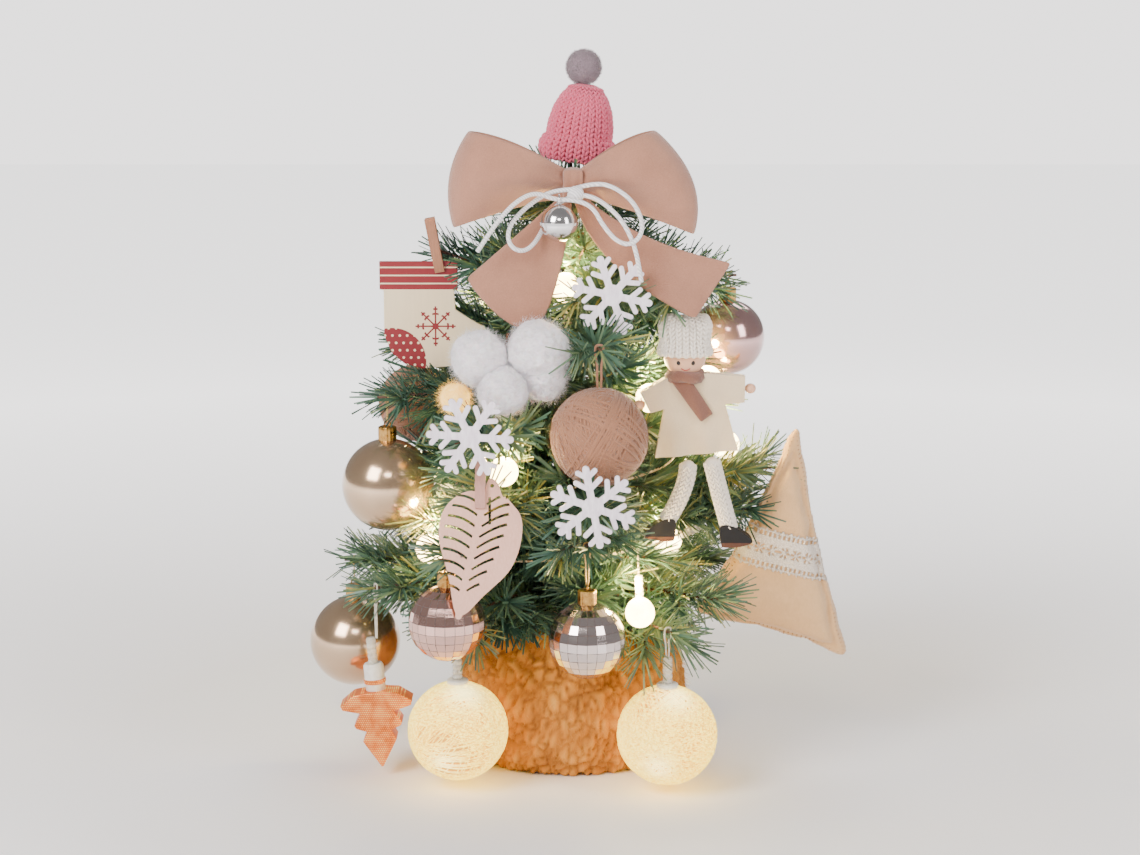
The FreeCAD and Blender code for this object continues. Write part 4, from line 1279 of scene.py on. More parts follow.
def makeTreeLamp(white, clear):
    copper = Finish("piercedCopper", Metallic=0.85)
    x, y, z = copper.axes()
    wear = copper.grain(140.0, 4.0)
    pitch = 0.0013
    row = (z / pitch).math("FLOOR")
    shifted = x / pitch + row * 0.5
    dotX = abs(shifted.math("FRACT") - 0.5)
    dotZ = abs((z / pitch).math("FRACT") - 0.5)
    dot = (dotX * dotX + dotZ * dotZ) < 0.055
    copper.set("Base_Color", copper.ramp(wear, (0.3, shade(168, 92, 44)), (0.7, shade(222, 138, 78))))
    copper.set("Roughness", copper.range(wear, 0.3, 0.7, 0.28, 0.5))
    spark = copper.mixed(copper.range(wear, 0.42, 0.6), shade(226, 120, 34), shade(255, 206, 110))
    copper.set("Emission_Color", copper.mixed(dot, shade(120, 48, 10), spark))
    copper.set("Emission_Strength", 1.7)
    copper.set("Normal", copper.bump(dot, 0.0004, 0.6))

    middle, radius, pivot, outwards = hungPlace("tree_lamp")
    top = middle.z + 0.044
    half = [(6.0, 10), (14, 9), (22.5, 3), (21.5, 0), (10.5, -3), (15, -10.5), (14, -12.5), (7.5, -15),
            (10.5, -21), (9.5, -23), (0.6, -38)]
    outline = half + [(-across, height) for across, height in reversed(half)]
    skin = bmesh.new()
    corners = [skin.verts.new(Vector((across, -8.5, height)) * mm) for across, height in outline]
    face = skin.faces.new(corners)
    pushed = bmesh.ops.extrude_face_region(skin, geom=[face])
    bmesh.ops.translate(skin, verts=[v for v in pushed["geom"] if isinstance(v, bmesh.types.BMVert)],
                        vec=(0, 0.017, 0))
    bmesh.ops.recalc_face_normals(skin, faces=skin.faces)
    rims = [e for e in skin.edges if abs(e.verts[0].co.y - e.verts[1].co.y) < 0.001]
    bmesh.ops.bevel(skin, geom=rims, offset=0.0035, affect="EDGES", segments=4, profile=0.5, material=-1,
                    clamp_overlap=True)
    collar = lathe([(0.02, 9), (5.6, 9), (6.3, 10.5), (6.3, 14), (6.6, 14.4), (6.6, 17.2), (6.3, 17.6), (6.3, 25.5),
                    (5.4, 27), (0.02, 27)], Vector((0, 0, 0)), 32)
    band = lathe([(6.4, 14.2), (6.9, 14.6), (6.9, 17.0), (6.4, 17.4)], Vector((0, 0, 0)), 32, closed=True)
    socket = socketShape(Vector((0, 0, 0.027)), 0.003, 0.0165)
    place = Matrix.Translation(middle) @ Matrix.Rotation(math.radians(-5), 4, "Y")
    slide = Matrix.Translation((0.044 * math.sin(math.radians(5)) - 0.0038, 0, 0))
    for part, shape, paint, slot in (("fir", skin, copper, "copper_lamp"), ("collar", collar, white, "copper_lamp"),
                                     ("band", band, copper, "copper_lamp"), ("socket", socket, clear, "clear_socket")):
        bmesh.ops.transform(shape, matrix=slide @ place, verts=shape.verts)
        piece = meshPiece("tree_lamp_" + part, shape, paint)
        piece.data.set_sharp_from_angle(angle=math.radians(40))
        belong(piece, "tree_lamp", slot, "tree_lamp")
    loop = loopThread("tree_lamp_lead", pivot, outwards, top - 0.001, thread["lead"], clear, 0.6)
    belong(loop, "tree_lamp", "clear_wire", "tree_lamp")


def makeHanging():
    rng = np.random.default_rng(19)
    gold, silk = makeGold(), makeSilk()
    pearl = makePearl("champagnePearl", shade(214, 184, 150), shade(168, 132, 98), 0.13)
    rose = makePearl("rosePearl", shade(206, 168, 164), shade(160, 118, 118), 0.1)
    makeBauble("left_bauble", pearl, "pearl_gold")
    makeBauble("lower_bauble", pearl, "pearl_gold")
    makeBauble("rear_bauble", rose, "rose_gloss")
    grout = Finish("tileGrout", Roughness=0.6)
    dirt = grout.grain(800.0)
    grout.set("Base_Color", grout.ramp(dirt, (0.3, shade(70, 52, 48)), (0.7, shade(120, 98, 90))))
    roseMirror = makeMetal("roseMirror", shade(232, 190, 178), 0.05)
    silverMirror = makeMetal("silverMirror", shade(226, 212, 208), 0.05)
    makeDiscoBall("left_disco_ball", roseMirror, grout, "rose_mirror", rng)
    makeDiscoBall("right_disco_ball", silverMirror, grout, "silver_mirror", rng)
    for node in ("left_bauble", "lower_bauble", "rear_bauble", "left_disco_ball", "right_disco_ball"):
        addCap(node, gold, silk)
    mohair = makeWoolFinish("brownMohair", shade(104, 64, 44), shade(176, 126, 96), 0.5)
    makeYarnBall("front_yarn_ball", mohair, rng)
    makeYarnBall("side_yarn_ball", mohair, rng)
    glow, shellPaint, clear = makeGlowThread(), makeGlowShell(), makeClearPlastic()
    white = Finish("whiteCollar", Roughness=0.35)
    fleck = white.grain(300.0)
    white.set("Base_Color", white.ramp(fleck, (0.3, shade(226, 220, 208)), (0.7, shade(244, 240, 230))))
    makeCottonLight("cotton_light_left", glow, shellPaint, white, clear, rng)
    makeCottonLight("cotton_light_right", glow, shellPaint, white, clear, rng)
    makeTreeLamp(white, clear)
    return clear


clearPlastic = makeHanging()
print("hanging ornaments made")


def makeSnowflakes():
    paint = Finish("paintedSnow", Roughness=0.45, Coat_Weight=0.15)
    brush = paint.grain(1, 3.0, place=paint.stretched((500, 500, 120)))
    glitter = paint.cells(1900.0)
    paint.set("Base_Color", paint.ramp(brush, (0.3, shade(222, 208, 220)), (0.7, shade(248, 240, 246))))
    paint.set("Roughness", paint.range(glitter, 0.0, 0.5, 0.3, 0.6))
    paint.set("Normal", paint.bump(brush, 0.0002, 0.4))
    belong(refined("snowflake_cutouts", "snowflakes", paint, edge=0.00025), "root", "painted_white", "snowflakes")


def makeWood(name, light, dark, turn=(0, 0, 0), size=(900, 900, 60), rough=0.6):
    paint = Finish(name, Roughness=rough)
    grain = paint.grain(1, 5.0, 0.65, place=paint.stretched(size, turn), distortion=0.6)
    pore = paint.grain(1, 2.0, place=paint.stretched(tuple(3 * part for part in size), turn))
    paint.set("Base_Color", paint.mixed(grain * 0.8 + pore * 0.2, light, dark))
    paint.set("Roughness", paint.range(grain, 0.3, 0.7, rough - 0.08, rough + 0.12))
    paint.set("Normal", paint.bump(pore, 0.00015, 0.5))
    return paint


# a mesh cut by parallel planes, so that it can be bent
def sliceAcross(shape, axis, first, last, step):
    normal = Vector((axis == 0, 0, axis == 2))
    for at in np.arange(first, last, step):
        bmesh.ops.bisect_plane(shape, geom=shape.verts[:] + shape.edges[:] + shape.faces[:],
                               plane_co=normal * float(at), plane_no=normal, dist=1e-6)


leaf = {"grip": (-53, -117, 197), "lean": -19.7, "stalk": (3.2, 0, -7), "tip": (-13, 0, -79), "wide": 22, "bend": 2.2}


# the leaf's veins are cut in gentle curves
def makeLeaf():
    wood = makeWood("palePlywood", shade(240, 194, 172), shade(208, 150, 128), turn=(0.3, 0.35, 0))
    piece = refined("wooden_leaf", "leaf_plate", wood, edge=0)
    low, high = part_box("leaf_plate")
    blade = bmesh.new()
    blade.from_mesh(piece.data)
    sliceAcross(blade, 0, low[0] + 0.001, high[0], 0.002)
    sliceAcross(blade, 2, low[2] + 0.001, high[2], 0.002)
    stand = Matrix.Translation(Vector(leaf["grip"]) * mm) @ Matrix.Rotation(math.radians(leaf["lean"]), 4, "X")
    flat = stand.inverted()
    stalk = Vector(leaf["stalk"]) * mm
    spine = Vector(leaf["tip"]) * mm - stalk
    length = spine.length
    spine.normalize()
    for vert in blade.verts:
        spot = flat @ vert.co - stalk
        along = spot.dot(spine)
        off = (spot - spine * along).xz.length
        wide = leaf["wide"] * mm * math.sin(math.pi * (0.28 + 0.66 * min(1, max(0, along / length))))
        if 0 < along < length and off < wide:
            vert.co -= stand.to_3x3() @ spine * (leaf["bend"] * mm * math.sin(math.pi * off / wide))
    blade.to_mesh(piece.data)
    blade.free()
    addModifier(piece, "BEVEL", width=0.0003, segments=2, limit_method="ANGLE", angle_limit=math.radians(45))
    settle(piece)
    belong(piece, "root", "pale_wood", "leaf_plate")


# the sock's print: striped cuff, eight-armed star, dotted heel
sock = {"star": (-0.0835, 0.2795), "starSize": 0.0125, "heel": (-0.1105, 0.2575), "heelSize": 0.021,
        "cuff": 0.3025, "stripes": (0.3062, 0.3112, 0.3162)}


def makeSock():
    paint = Finish("printedPly", Roughness=0.5)
    x, y, z = paint.axes()
    red, cream = shade(132, 20, 30), shade(236, 216, 178)
    grain = paint.grain(1, 4.0, place=paint.stretched((700, 700, 70)))
    cuff = z > sock["cuff"]
    stripe = None
    for height in sock["stripes"]:
        line = abs(z - height) < 0.00042
        stripe = line if stripe is None else stripe.math("MAXIMUM", line)
    starX, starZ = x - sock["star"][0], z - sock["star"][1]
    reach = (starX * starX + starZ * starZ).math("SQRT")
    turn = starZ.math("ARCTAN2", starX)
    arm = abs((turn * 4).math("SINE") * reach) * 0.25 < 0.00048
    star = arm * (reach < sock["starSize"])
    for ringAt, ringArm in ((0.0078, 0.0017), (0.0108, 0.0013)):
        near = abs(reach - ringAt) < 0.0006
        between = abs((turn * 4).math("SINE") * reach) * 0.25 < ringArm
        star = star.math("MAXIMUM", near * between)
    heelX, heelZ = x - sock["heel"][0], z - sock["heel"][1]
    heel = (heelX * heelX + heelZ * heelZ) < sock["heelSize"] ** 2
    pitch = 0.0046
    row = (z / pitch).math("FLOOR")
    dotX = (x / pitch + row * 0.5).math("FRACT") - 0.5
    dotZ = (z / pitch).math("FRACT") - 0.5
    dots = (dotX * dotX + dotZ * dotZ) < 0.03
    printed = (cuff * (1 - stripe)).math("MAXIMUM", star * (1 - heel)).math("MAXIMUM", heel * (1 - dots) * (1 - cuff))
    worn = paint.mixed(grain * 0.35, cream, shade(196, 178, 148))
    ink = paint.mixed(grain * 0.4, red, shade(98, 12, 20))
    paint.set("Base_Color", paint.mixed(printed, worn, ink))
    paint.set("Normal", paint.bump(grain, 0.00015, 0.4))
    belong(refined("sock_shape", "sock_plate", paint, edge=0.0004), "root", "printed_wood", "sock_plate")


def makePegs():
    paint = Finish("pegWood", Roughness=0.55)
    x, y, z = paint.axes()
    grain = paint.grain(1, 5.0, place=paint.stretched((900, 900, 90)))
    pink = paint.mixed(grain, shade(206, 158, 142), shade(168, 118, 104))
    brown = paint.mixed(grain, shade(182, 128, 96), shade(128, 80, 56))
    paint.set("Base_Color", paint.mixed(x > -0.068, brown, pink))
    paint.set("Normal", paint.bump(grain, 0.0002, 0.5))
    for node, body in (("peg_fixed_jaws", "root"), ("leaf_peg_jaw", "leaf_peg_jaw"), ("sock_peg_jaw", "sock_peg_jaw")):
        belong(refined(node + "_wood", node, paint, edge=0.0004), body, "peg_wood", node)
    spring = makeMetal("springSteel", shade(180, 176, 170), 0.25)
    belong(refined("peg_coils", "peg_springs", spring, edge=0.0002), "root", "spring_steel", "peg_springs")


makeSnowflakes()
makeLeaf()
makeSock()
makePegs()
print("flat ornaments made")

# cotton puffs: middles and radii in millimetres; the last puff glows with painted light
boll = {"puffs": [((-53.7, -96, 268.5), 17.9), ((-19, -93.5, 272.5), 20.0), ((-39.8, -106, 250.6), 16.0),
                  ((-16.5, -94, 256.5), 14.8)], "paintedGlow": ((-69.1, -88, 243.4), 9.6), "fibres": 2600}


def makePuff(name, middle, radius, paint, rng, fibres):
    middle = Vector(middle) * mm
    radius = radius * mm
    ball = bmesh.new()
    bmesh.ops.create_icosphere(ball, subdivisions=5, radius=radius * 0.93)
    shift = Vector(rng.uniform(-5, 5, 3))
    for vert in ball.verts:
        way = vert.co.normalized()
        lump = noise.noise(way * 1.7 + shift) * 0.085 + noise.noise(way * 5 + shift) * 0.05
        vert.co *= 1 + lump + 0.022 * noise.noise(way * 16 + shift)
    bmesh.ops.translate(ball, verts=ball.verts, vec=middle)
    ball.normal_update()
    belong(meshPiece(name, ball, paint), "root", "cotton", "boll_puffs")
    ways = randomDirections(rng, fibres)
    lie = np.cross(ways, randomDirections(rng, fibres)) * 1.2
    hair = fuzz(name + "_fibres", np.array(middle) + ways * radius * 0.93, ways * 0.55 + lie, rng, 0.0062, 0.00011,
                0.5, paint)
    belong(hair, "root", "cotton", "boll_puffs")


def makeBoll():
    rng = np.random.default_rng(23)
    cotton = Finish("cottonWool", Roughness=1.0, Sheen_Weight=0.7, Sheen_Roughness=0.5, Subsurface_Weight=0.25,
                    Subsurface_Scale=0.004)
    wisp = cotton.grain(1, 5.0, place=cotton.stretched((260, 260, 420)), distortion=0.8)
    cotton.set("Base_Color", cotton.ramp(wisp, (0.3, shade(226, 216, 220)), (0.65, shade(250, 246, 248))))
    cotton.set("Normal", cotton.bump(wisp, 0.0014, 0.7))
    for number, (middle, radius) in enumerate(boll["puffs"]):
        makePuff(f"cotton_puff_{number + 1}", middle, radius, cotton, rng, boll["fibres"])
    # painted glow: this puff is tinted golden and made to emit light, though no lamp is inside it
    paintedGlow = Finish("litCotton", Roughness=0.9)
    wisp = paintedGlow.grain(300.0, 4.0)
    paintedGlow.set("Base_Color", paintedGlow.ramp(wisp, (0.3, shade(236, 190, 92)), (0.7, shade(252, 224, 150))))
    paintedGlow.set("Emission_Color", paintedGlow.ramp(wisp, (0.3, shade(255, 178, 60)), (0.7, shade(255, 218, 118))))
    paintedGlow.set("Emission_Strength", 1.2)
    makePuff("cotton_puff_lit", *boll["paintedGlow"], paintedGlow, rng, 900)
    husk = makeWood("driedHusk", shade(132, 92, 62), shade(74, 48, 32), size=(500, 500, 200), rough=0.8)
    belong(refined("husk", "boll_husk", husk, edge=0.0005), "root", "husk", "boll_husk")


makeBoll()
print("cotton boll made")

# doll, in millimetres; everything lies about y = depth
doll = {"depth": -66, "head": (69.8, -66, 266.5), "headSize": 13.0, "neck": (70.2, -66, 254),
        "hands": [(109.8, -66, 246), (42.5, -66, 236)], "legSize": 4.8, "top": (69.6, -66, 291), "hook": 303}
legs = {"left": [(72.2, -66, 197), (71.2, -66, 182), (59, -66, 163)],
        "right": [(87.2, -66, 199), (92.5, -66, 178), (98, -66, 159)]}
capProfile = [(15.7, 2.6), (16.1, 4.5), (15.3, 8.4), (14.4, 11), (13.6, 19), (10.6, 24.6), (5.5, 26.4)]


def makeFace(wood):
    middle = Vector(doll["head"]) * mm
    ball = bmesh.new()
    bmesh.ops.create_uvsphere(ball, u_segments=40, v_segments=28, radius=doll["headSize"] * mm)
    bmesh.ops.translate(ball, verts=ball.verts, vec=middle)
    belong(meshPiece("doll_face", ball, wood), "doll", "doll_wood", "doll_head")
    ink = Finish("faceInk", Roughness=0.3)
    speck = ink.grain(900.0)
    ink.set("Base_Color", ink.ramp(speck, (0.3, shade(10, 8, 8)), (0.7, shade(34, 26, 24))))
    eyes = bmesh.new()
    for side in (-1, 1):
        made = bmesh.ops.create_uvsphere(eyes, u_segments=14, v_segments=10, radius=0.00125)
        spot = Vector((side * 0.0045, -0.0122, -0.0032)).normalized() * doll["headSize"] * mm
        bmesh.ops.scale(eyes, verts=made["verts"], vec=(1, 0.5, 1.15))
        bmesh.ops.translate(eyes, verts=made["verts"], vec=middle + spot)
    belong(meshPiece("doll_eyes", eyes, ink), "doll", "doll_wood", "doll_head")
    red = Finish("smileRed", Roughness=0.5)
    speck = red.grain(900.0)
    red.set("Base_Color", red.ramp(speck, (0.3, shade(150, 40, 34)), (0.7, shade(196, 70, 58))))
    route = []
    for across, height in ((-2.7, -6.6), (-1.5, -7.5), (0, -7.9), (1.5, -7.5), (2.7, -6.6)):
        spot = Vector((across, 0, height)) * mm
        spot.y = -math.sqrt((doll["headSize"] * mm) ** 2 - spot.x ** 2 - spot.z ** 2)
        route.append(middle + spot)
    belong(curvePiece("doll_smile", [route], 0.00036, red), "doll", "doll_wood", "doll_head")


def makeDollCap(knit):
    foot = Vector(doll["head"]) * mm - up * 0.002
    place = Matrix.Translation(foot)
    places = knitPlaces(ringsOnProfile(capProfile, 2.5, place), 22, 0.0041)

    def pinch(spots):
        height = (spots[:, 2] - foot.z) / mm
        share = np.clip((height - 10) / 16, 0, 1)
        spots[:, 1] = foot.y + (spots[:, 1] - foot.y) * (1 - 0.5 * share)
        spots[:, 0] = foot.x + (spots[:, 0] - foot.x) * (1 + 0.28 * share)
        spots[:, 2] = np.minimum(spots[:, 2] + share * (np.abs(spots[:, 0] - foot.x) / 0.012) ** 2 * 0.0016, 0.2915)
        return spots

    places[:, :3, 3] = pinch(places[:, :3, 3])
    belong(stamp("doll_cap_stitches", stitchShape(), places, knit), "doll", "cream_knit", "doll_cap")
    inner = [(0.02, 25.6), (5, 25.4), (10, 23.6), (13, 18.4), (13.8, 11), (14.6, 8), (15.2, 4.6), (15, 2.6),
             (13.6, 2.2), (13.2, 4)]
    lining = lathe(inner, Vector((0, 0, 0)), 36)
    bmesh.ops.translate(lining, verts=lining.verts, vec=foot)
    spots = pinch(np.array([v.co for v in lining.verts]))
    for vert, spot in zip(lining.verts, spots):
        vert.co = spot
    belong(meshPiece("doll_cap_lining", lining, knit), "doll", "cream_knit", "doll_cap")
    pivot = Vector((doll["top"][0] * mm, doll["depth"] * mm, doll["hook"] * mm))
    outwards = Vector((pivot.x, pivot.y, 0)).normalized()
    loop = loopThread("doll_thread", pivot, outwards, 0.2895, thread["silk"], knit)
    belong(loop, "doll", "cream_knit", "doll_cap")


def makeScarf(felt):
    ring = bmesh.new()
    bmesh.ops.create_circle(ring, segments=14, radius=0.0032)
    bmesh.ops.scale(ring, verts=ring.verts, vec=(1.0, 1.15, 1.0))
    bmesh.ops.rotate(ring, verts=ring.verts, matrix=Matrix.Rotation(math.pi / 2, 3, "X"))
    bmesh.ops.translate(ring, verts=ring.verts, vec=(0.0092, 0, 0))
    bmesh.ops.spin(ring, geom=ring.verts[:] + ring.edges[:], axis=up, cent=(0, 0, 0), angle=2 * math.pi, steps=48,
                   use_merge=True)
    for vert in ring.verts:
        turn = math.atan2(vert.co.y, vert.co.x)
        vert.co.z += 0.0006 * math.sin(turn * 3 + 1)
        vert.co *= 1 + 0.03 * math.sin(turn * 9 + vert.co.z * 1800)
    bmesh.ops.translate(ring, verts=ring.verts, vec=Vector(doll["neck"]) * mm)
    bmesh.ops.recalc_face_normals(ring, faces=ring.faces)
    belong(meshPiece("scarf_wrap", ring, felt), "doll", "brown_felt", "doll_scarf")

    def place(down, across):
        left = Vector((60, 0, 253)).lerp(Vector((79.5, 0, 226.5)), down)
        right = Vector((71.5, 0, 255)).lerp(Vector((87, 0, 231.5)), down)
        spot = left.lerp(right, across)
        spot.y = doll["depth"] - 7.2 - 1.2 * math.sin(down * math.pi) + 0.8 * math.sin(across * 5 + down * 4)
        return spot * mm

    tail = gridPiece("scarf_tail", 12, 8, place, felt)
    addModifier(tail, "SOLIDIFY", thickness=0.0017, offset=0)
    addModifier(tail, "SUBSURF", levels=2, render_levels=2)
    settle(tail)
    belong(tail, "doll", "brown_felt", "doll_scarf")


def makeCoat():
    felt = makeFeltFinish("creamFelt", shade(206, 178, 136), shade(242, 222, 188))
    coat = joinedCopy("doll_coat", 0.6)
    bmesh.ops.recalc_face_normals(coat, faces=coat.faces)
    piece = meshPiece("coat", coat, felt)
    addModifier(piece, "BEVEL", width=0.0022, segments=4, limit_method="ANGLE", angle_limit=math.radians(50))
    settle(piece)
    cut = bmesh.new()
    cut.from_mesh(piece.data)
    sliceAcross(cut, 0, 0.046, 0.106, 0.003)
    sliceAcross(cut, 2, 0.206, 0.254, 0.003)
    middleY = doll["depth"] * mm
    for vert in cut.verts:
        x, z = vert.co.x, vert.co.z
        hem = max(0.0, (0.236 - z) / 0.032)
        fold = math.sin((x - 0.05) * 330) * 0.0016 * hem
        sleeve = 1 - 0.28 * max(0.0, abs(x - 0.0745) - 0.02) / 0.03
        vert.co.y = middleY + (vert.co.y - middleY) * sleeve + fold
    cut.to_mesh(piece.data)
    cut.free()
    belong(piece, "doll", "cream_felt", "doll_coat")


def makeLeg(side, knit):
    route = [Vector(p) * mm for p in legs[side]]
    radius = doll["legSize"] * mm
    path = curvePiece("path", [route], 0, resolution=0)
    path.data.bevel_depth = 0
    graph = bpy.context.evaluated_depsgraph_get()
    line = bpy.data.meshes.new_from_object(path.evaluated_get(graph))
    points = [Vector(v.co) for v in line.vertices]
    bpy.data.objects.remove(path)
    bpy.data.meshes.remove(line)
    rings = []
    spacing, carried = 0.0031, 0.0
    for here, there in zip(points, points[1:]):
        run = (there - here).length
        while carried < run:
            axis = (here - there).normalized()
            rings.append((here.lerp(there, carried / run), axis, radius * 0.97, 0.0))
            carried += spacing
        carried -= run
    places = knitPlaces(rings, 9, 0.0050)
    body = f"doll_{side}_leg"
    belong(stamp(body + "_stitches", stitchShape(), places, knit), body, "cream_knit", body)
    tube = curvePiece(body + "_tube", [route], radius * 0.86, knit, resolution=4)
    belong(tube, body, "cream_knit", body)
    tops = bmesh.new()
    bmesh.ops.create_icosphere(tops, subdivisions=3, radius=radius * 0.95)
    bmesh.ops.translate(tops, verts=tops.verts, vec=route[0])
    belong(meshPiece(body + "_top", tops, knit), body, "cream_knit", body)

    node = f"doll_{side}_shoe"
    sole = route[-1].z - 0.0083
    paint = Finish(node + "_paint", Roughness=0.4, Coat_Weight=0.1, Specular_IOR_Level=0.3)
    x, y, z = paint.axes()
    scuff = paint.grain(260.0, 4.0)
    black = paint.mixed(scuff * 0.5, shade(5, 4, 4), shade(24, 19, 18))
    paint.set("Base_Color", paint.mixed(z < sole, black, paint.mixed(scuff, shade(96, 58, 40), shade(60, 36, 26))))
    paint.set("Roughness", paint.range(scuff, 0.3, 0.7, 0.35, 0.55))
    shoe = refined(node + "_shape", node, paint, edge=0.0016, angle=45, segments=4)
    belong(shoe, body, "shoe_wood", node)


def makeDoll():
    wood = makeWood("peachWood", shade(236, 190, 158), shade(214, 160, 126), size=(160, 160, 60), rough=0.45)
    knit = makeWoolFinish("creamWool", shade(220, 204, 186), shade(252, 244, 232), 0.4)
    scarfFelt = makeFeltFinish("brownFelt", shade(88, 50, 38), shade(142, 92, 72))
    makeFace(wood)
    makeDollCap(knit)
    makeScarf(scarfFelt)
    makeCoat()
    hands = bmesh.new()
    for middle in doll["hands"]:
        made = bmesh.ops.create_uvsphere(hands, u_segments=24, v_segments=16, radius=0.0034)
        bmesh.ops.scale(hands, verts=made["verts"], vec=(1.0, 0.9, 0.92))
        bmesh.ops.translate(hands, verts=made["verts"], vec=Vector(middle) * mm)
    belong(meshPiece("doll_hand_beads", hands, wood), "doll", "doll_wood", "doll_hands")
    for side in ("left", "right"):
        makeLeg(side, knit)


makeDoll()
print("doll made")

# felt pillow: cloth simulation, then stitches and lace laid on its surface
pillow = {"corners": [(143.5, 221.5), (75.2, 92), (181.6, 60.9)], "depth": -20, "puff": 5.0, "cap": 0.009,
          "stitch": 2.8, "seam": 8.5, "laceMiddle": (131, 137), "laceTilt": 14.0, "laceWidth": 27.0}


def pillowStart():
    shape = bmesh.new()
    shape.from_mesh(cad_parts["pillow_body"].data)
    bmesh.ops.remove_doubles(shape, verts=shape.verts, dist=1e-6)
    middle = sum((v.co for v in shape.verts), Vector()) / len(shape.verts)
    for vert in shape.verts:
        vert.co.y = middle.y + (vert.co.y - middle.y) * 0.74
        vert.co.x = middle.x + (vert.co.x - middle.x) * 0.985
        vert.co.z = middle.z + (vert.co.z - middle.z) * 0.985
    return shape


# how far in from the nearest edge of the pillow a point lies, in millimetres
def fromEdge(spot):
    corners = [Vector((x, 0, z)) for x, z in pillow["corners"]]
    flat = Vector((spot.x, 0, spot.z)) / mm
    return min(abs((there - here).normalized().cross(flat - here).y)
               for here, there in zip(corners, corners[1:] + corners[:1]))


def inflate(piece):
    remesh = addModifier(piece, "REMESH", mode="VOXEL", voxel_size=0.0045)
    settle(piece)
    start = [v.co.copy() for v in piece.data.vertices]
    cloth = piece.modifiers.new("cloth", "CLOTH")
    cloth.settings.use_pressure = True
    cloth.settings.uniform_pressure_force = pillow["puff"]
    cloth.settings.effector_weights.gravity = 0
    cloth.settings.tension_stiffness = 18
    for number in range(1, 21):
        bpy.context.scene.frame_set(number)
    settle(piece)
    bpy.context.scene.frame_set(1)
    for vert, origin in zip(piece.data.vertices, start):
        move = vert.co - origin
        if move.length > pillow["cap"]:
            vert.co = origin + move.normalized() * pillow["cap"]
    shape = bmesh.new()
    shape.from_mesh(piece.data)
    bmesh.ops.smooth_vert(shape, verts=shape.verts, factor=0.4, use_axis_x=True, use_axis_y=True, use_axis_z=True)
    bmesh.ops.subdivide_edges(shape, edges=shape.edges, cuts=1, smooth=0.6, use_grid_fill=True)
    for vert in shape.verts:
        vert.co += vert.normal * 0.0016 * noise.noise(vert.co * 45)
        groove = math.exp(-((fromEdge(vert.co) - pillow["seam"] - 2.0 * noise.noise(vert.co * 70)) / 1.8) ** 2)
        vert.co.y += (pillow["depth"] * mm - vert.co.y) * 0.45 * groove
    bmesh.ops.recalc_face_normals(shape, faces=shape.faces)
    shape.to_mesh(piece.data)
    shape.free()
    piece.data.polygons.foreach_set("use_smooth", [True] * len(piece.data.polygons))


def surfaceTree(piece):
    shape = bmesh.new()
    shape.from_mesh(piece.data)
    tree = BVHTree.FromBMesh(shape)
    shape.free()
    return tree


# whip stitches: short slanted loops of thread over the edge seam
def addWhipStitches(tree, paint):
    corners = [Vector((x, pillow["depth"], z)) * mm for x, z in pillow["corners"]]
    places, along, scales = [], [], []
    for here, there in zip(corners, corners[1:] + corners[:1]):
        run = there - here
        count = int(run.length / mm / pillow["stitch"])
        outwards = run.cross(Vector((0, 1, 0))).normalized()
        centre = sum(corners, Vector()) / 3
        if outwards.dot(here - centre) < 0:
            outwards = -outwards
        for step in range(1, count):
            spot = here.lerp(there, step / count) + outwards * 0.03
            hit = tree.ray_cast(spot, -outwards, 0.06)
            if hit[0] is None:
                continue
            for side in (-1, 1):
                foot = hit[0] - outwards * 0.0026 + Vector((0, side * 0.012, 0)) + run.normalized() * 0.0009 * side
                front = tree.ray_cast(foot, Vector((0, -side, 0)), 0.03)
                if front[0] is None:
                    continue
                end = front[0]
                places.append(hit[0] + outwards * 0.0001)
                along.append(end - hit[0])
                scales.append((0.0008, 0.0008, (end - hit[0]).length))
    rod = bmesh.new()
    bmesh.ops.create_cone(rod, cap_ends=True, segments=6, radius1=0.5, radius2=0.5, depth=1)
    bmesh.ops.translate(rod, verts=rod.verts, vec=(0, 0, 0.5))
    stitches = stamp("pillow_stitches", rod, framesAt(places, along, np.tile([0.3, 0.2, 1.0], (len(places), 1)),
                                                      np.array(scales)), paint)
    belong(stitches, "root", "pillow_felt", "pillow_body")


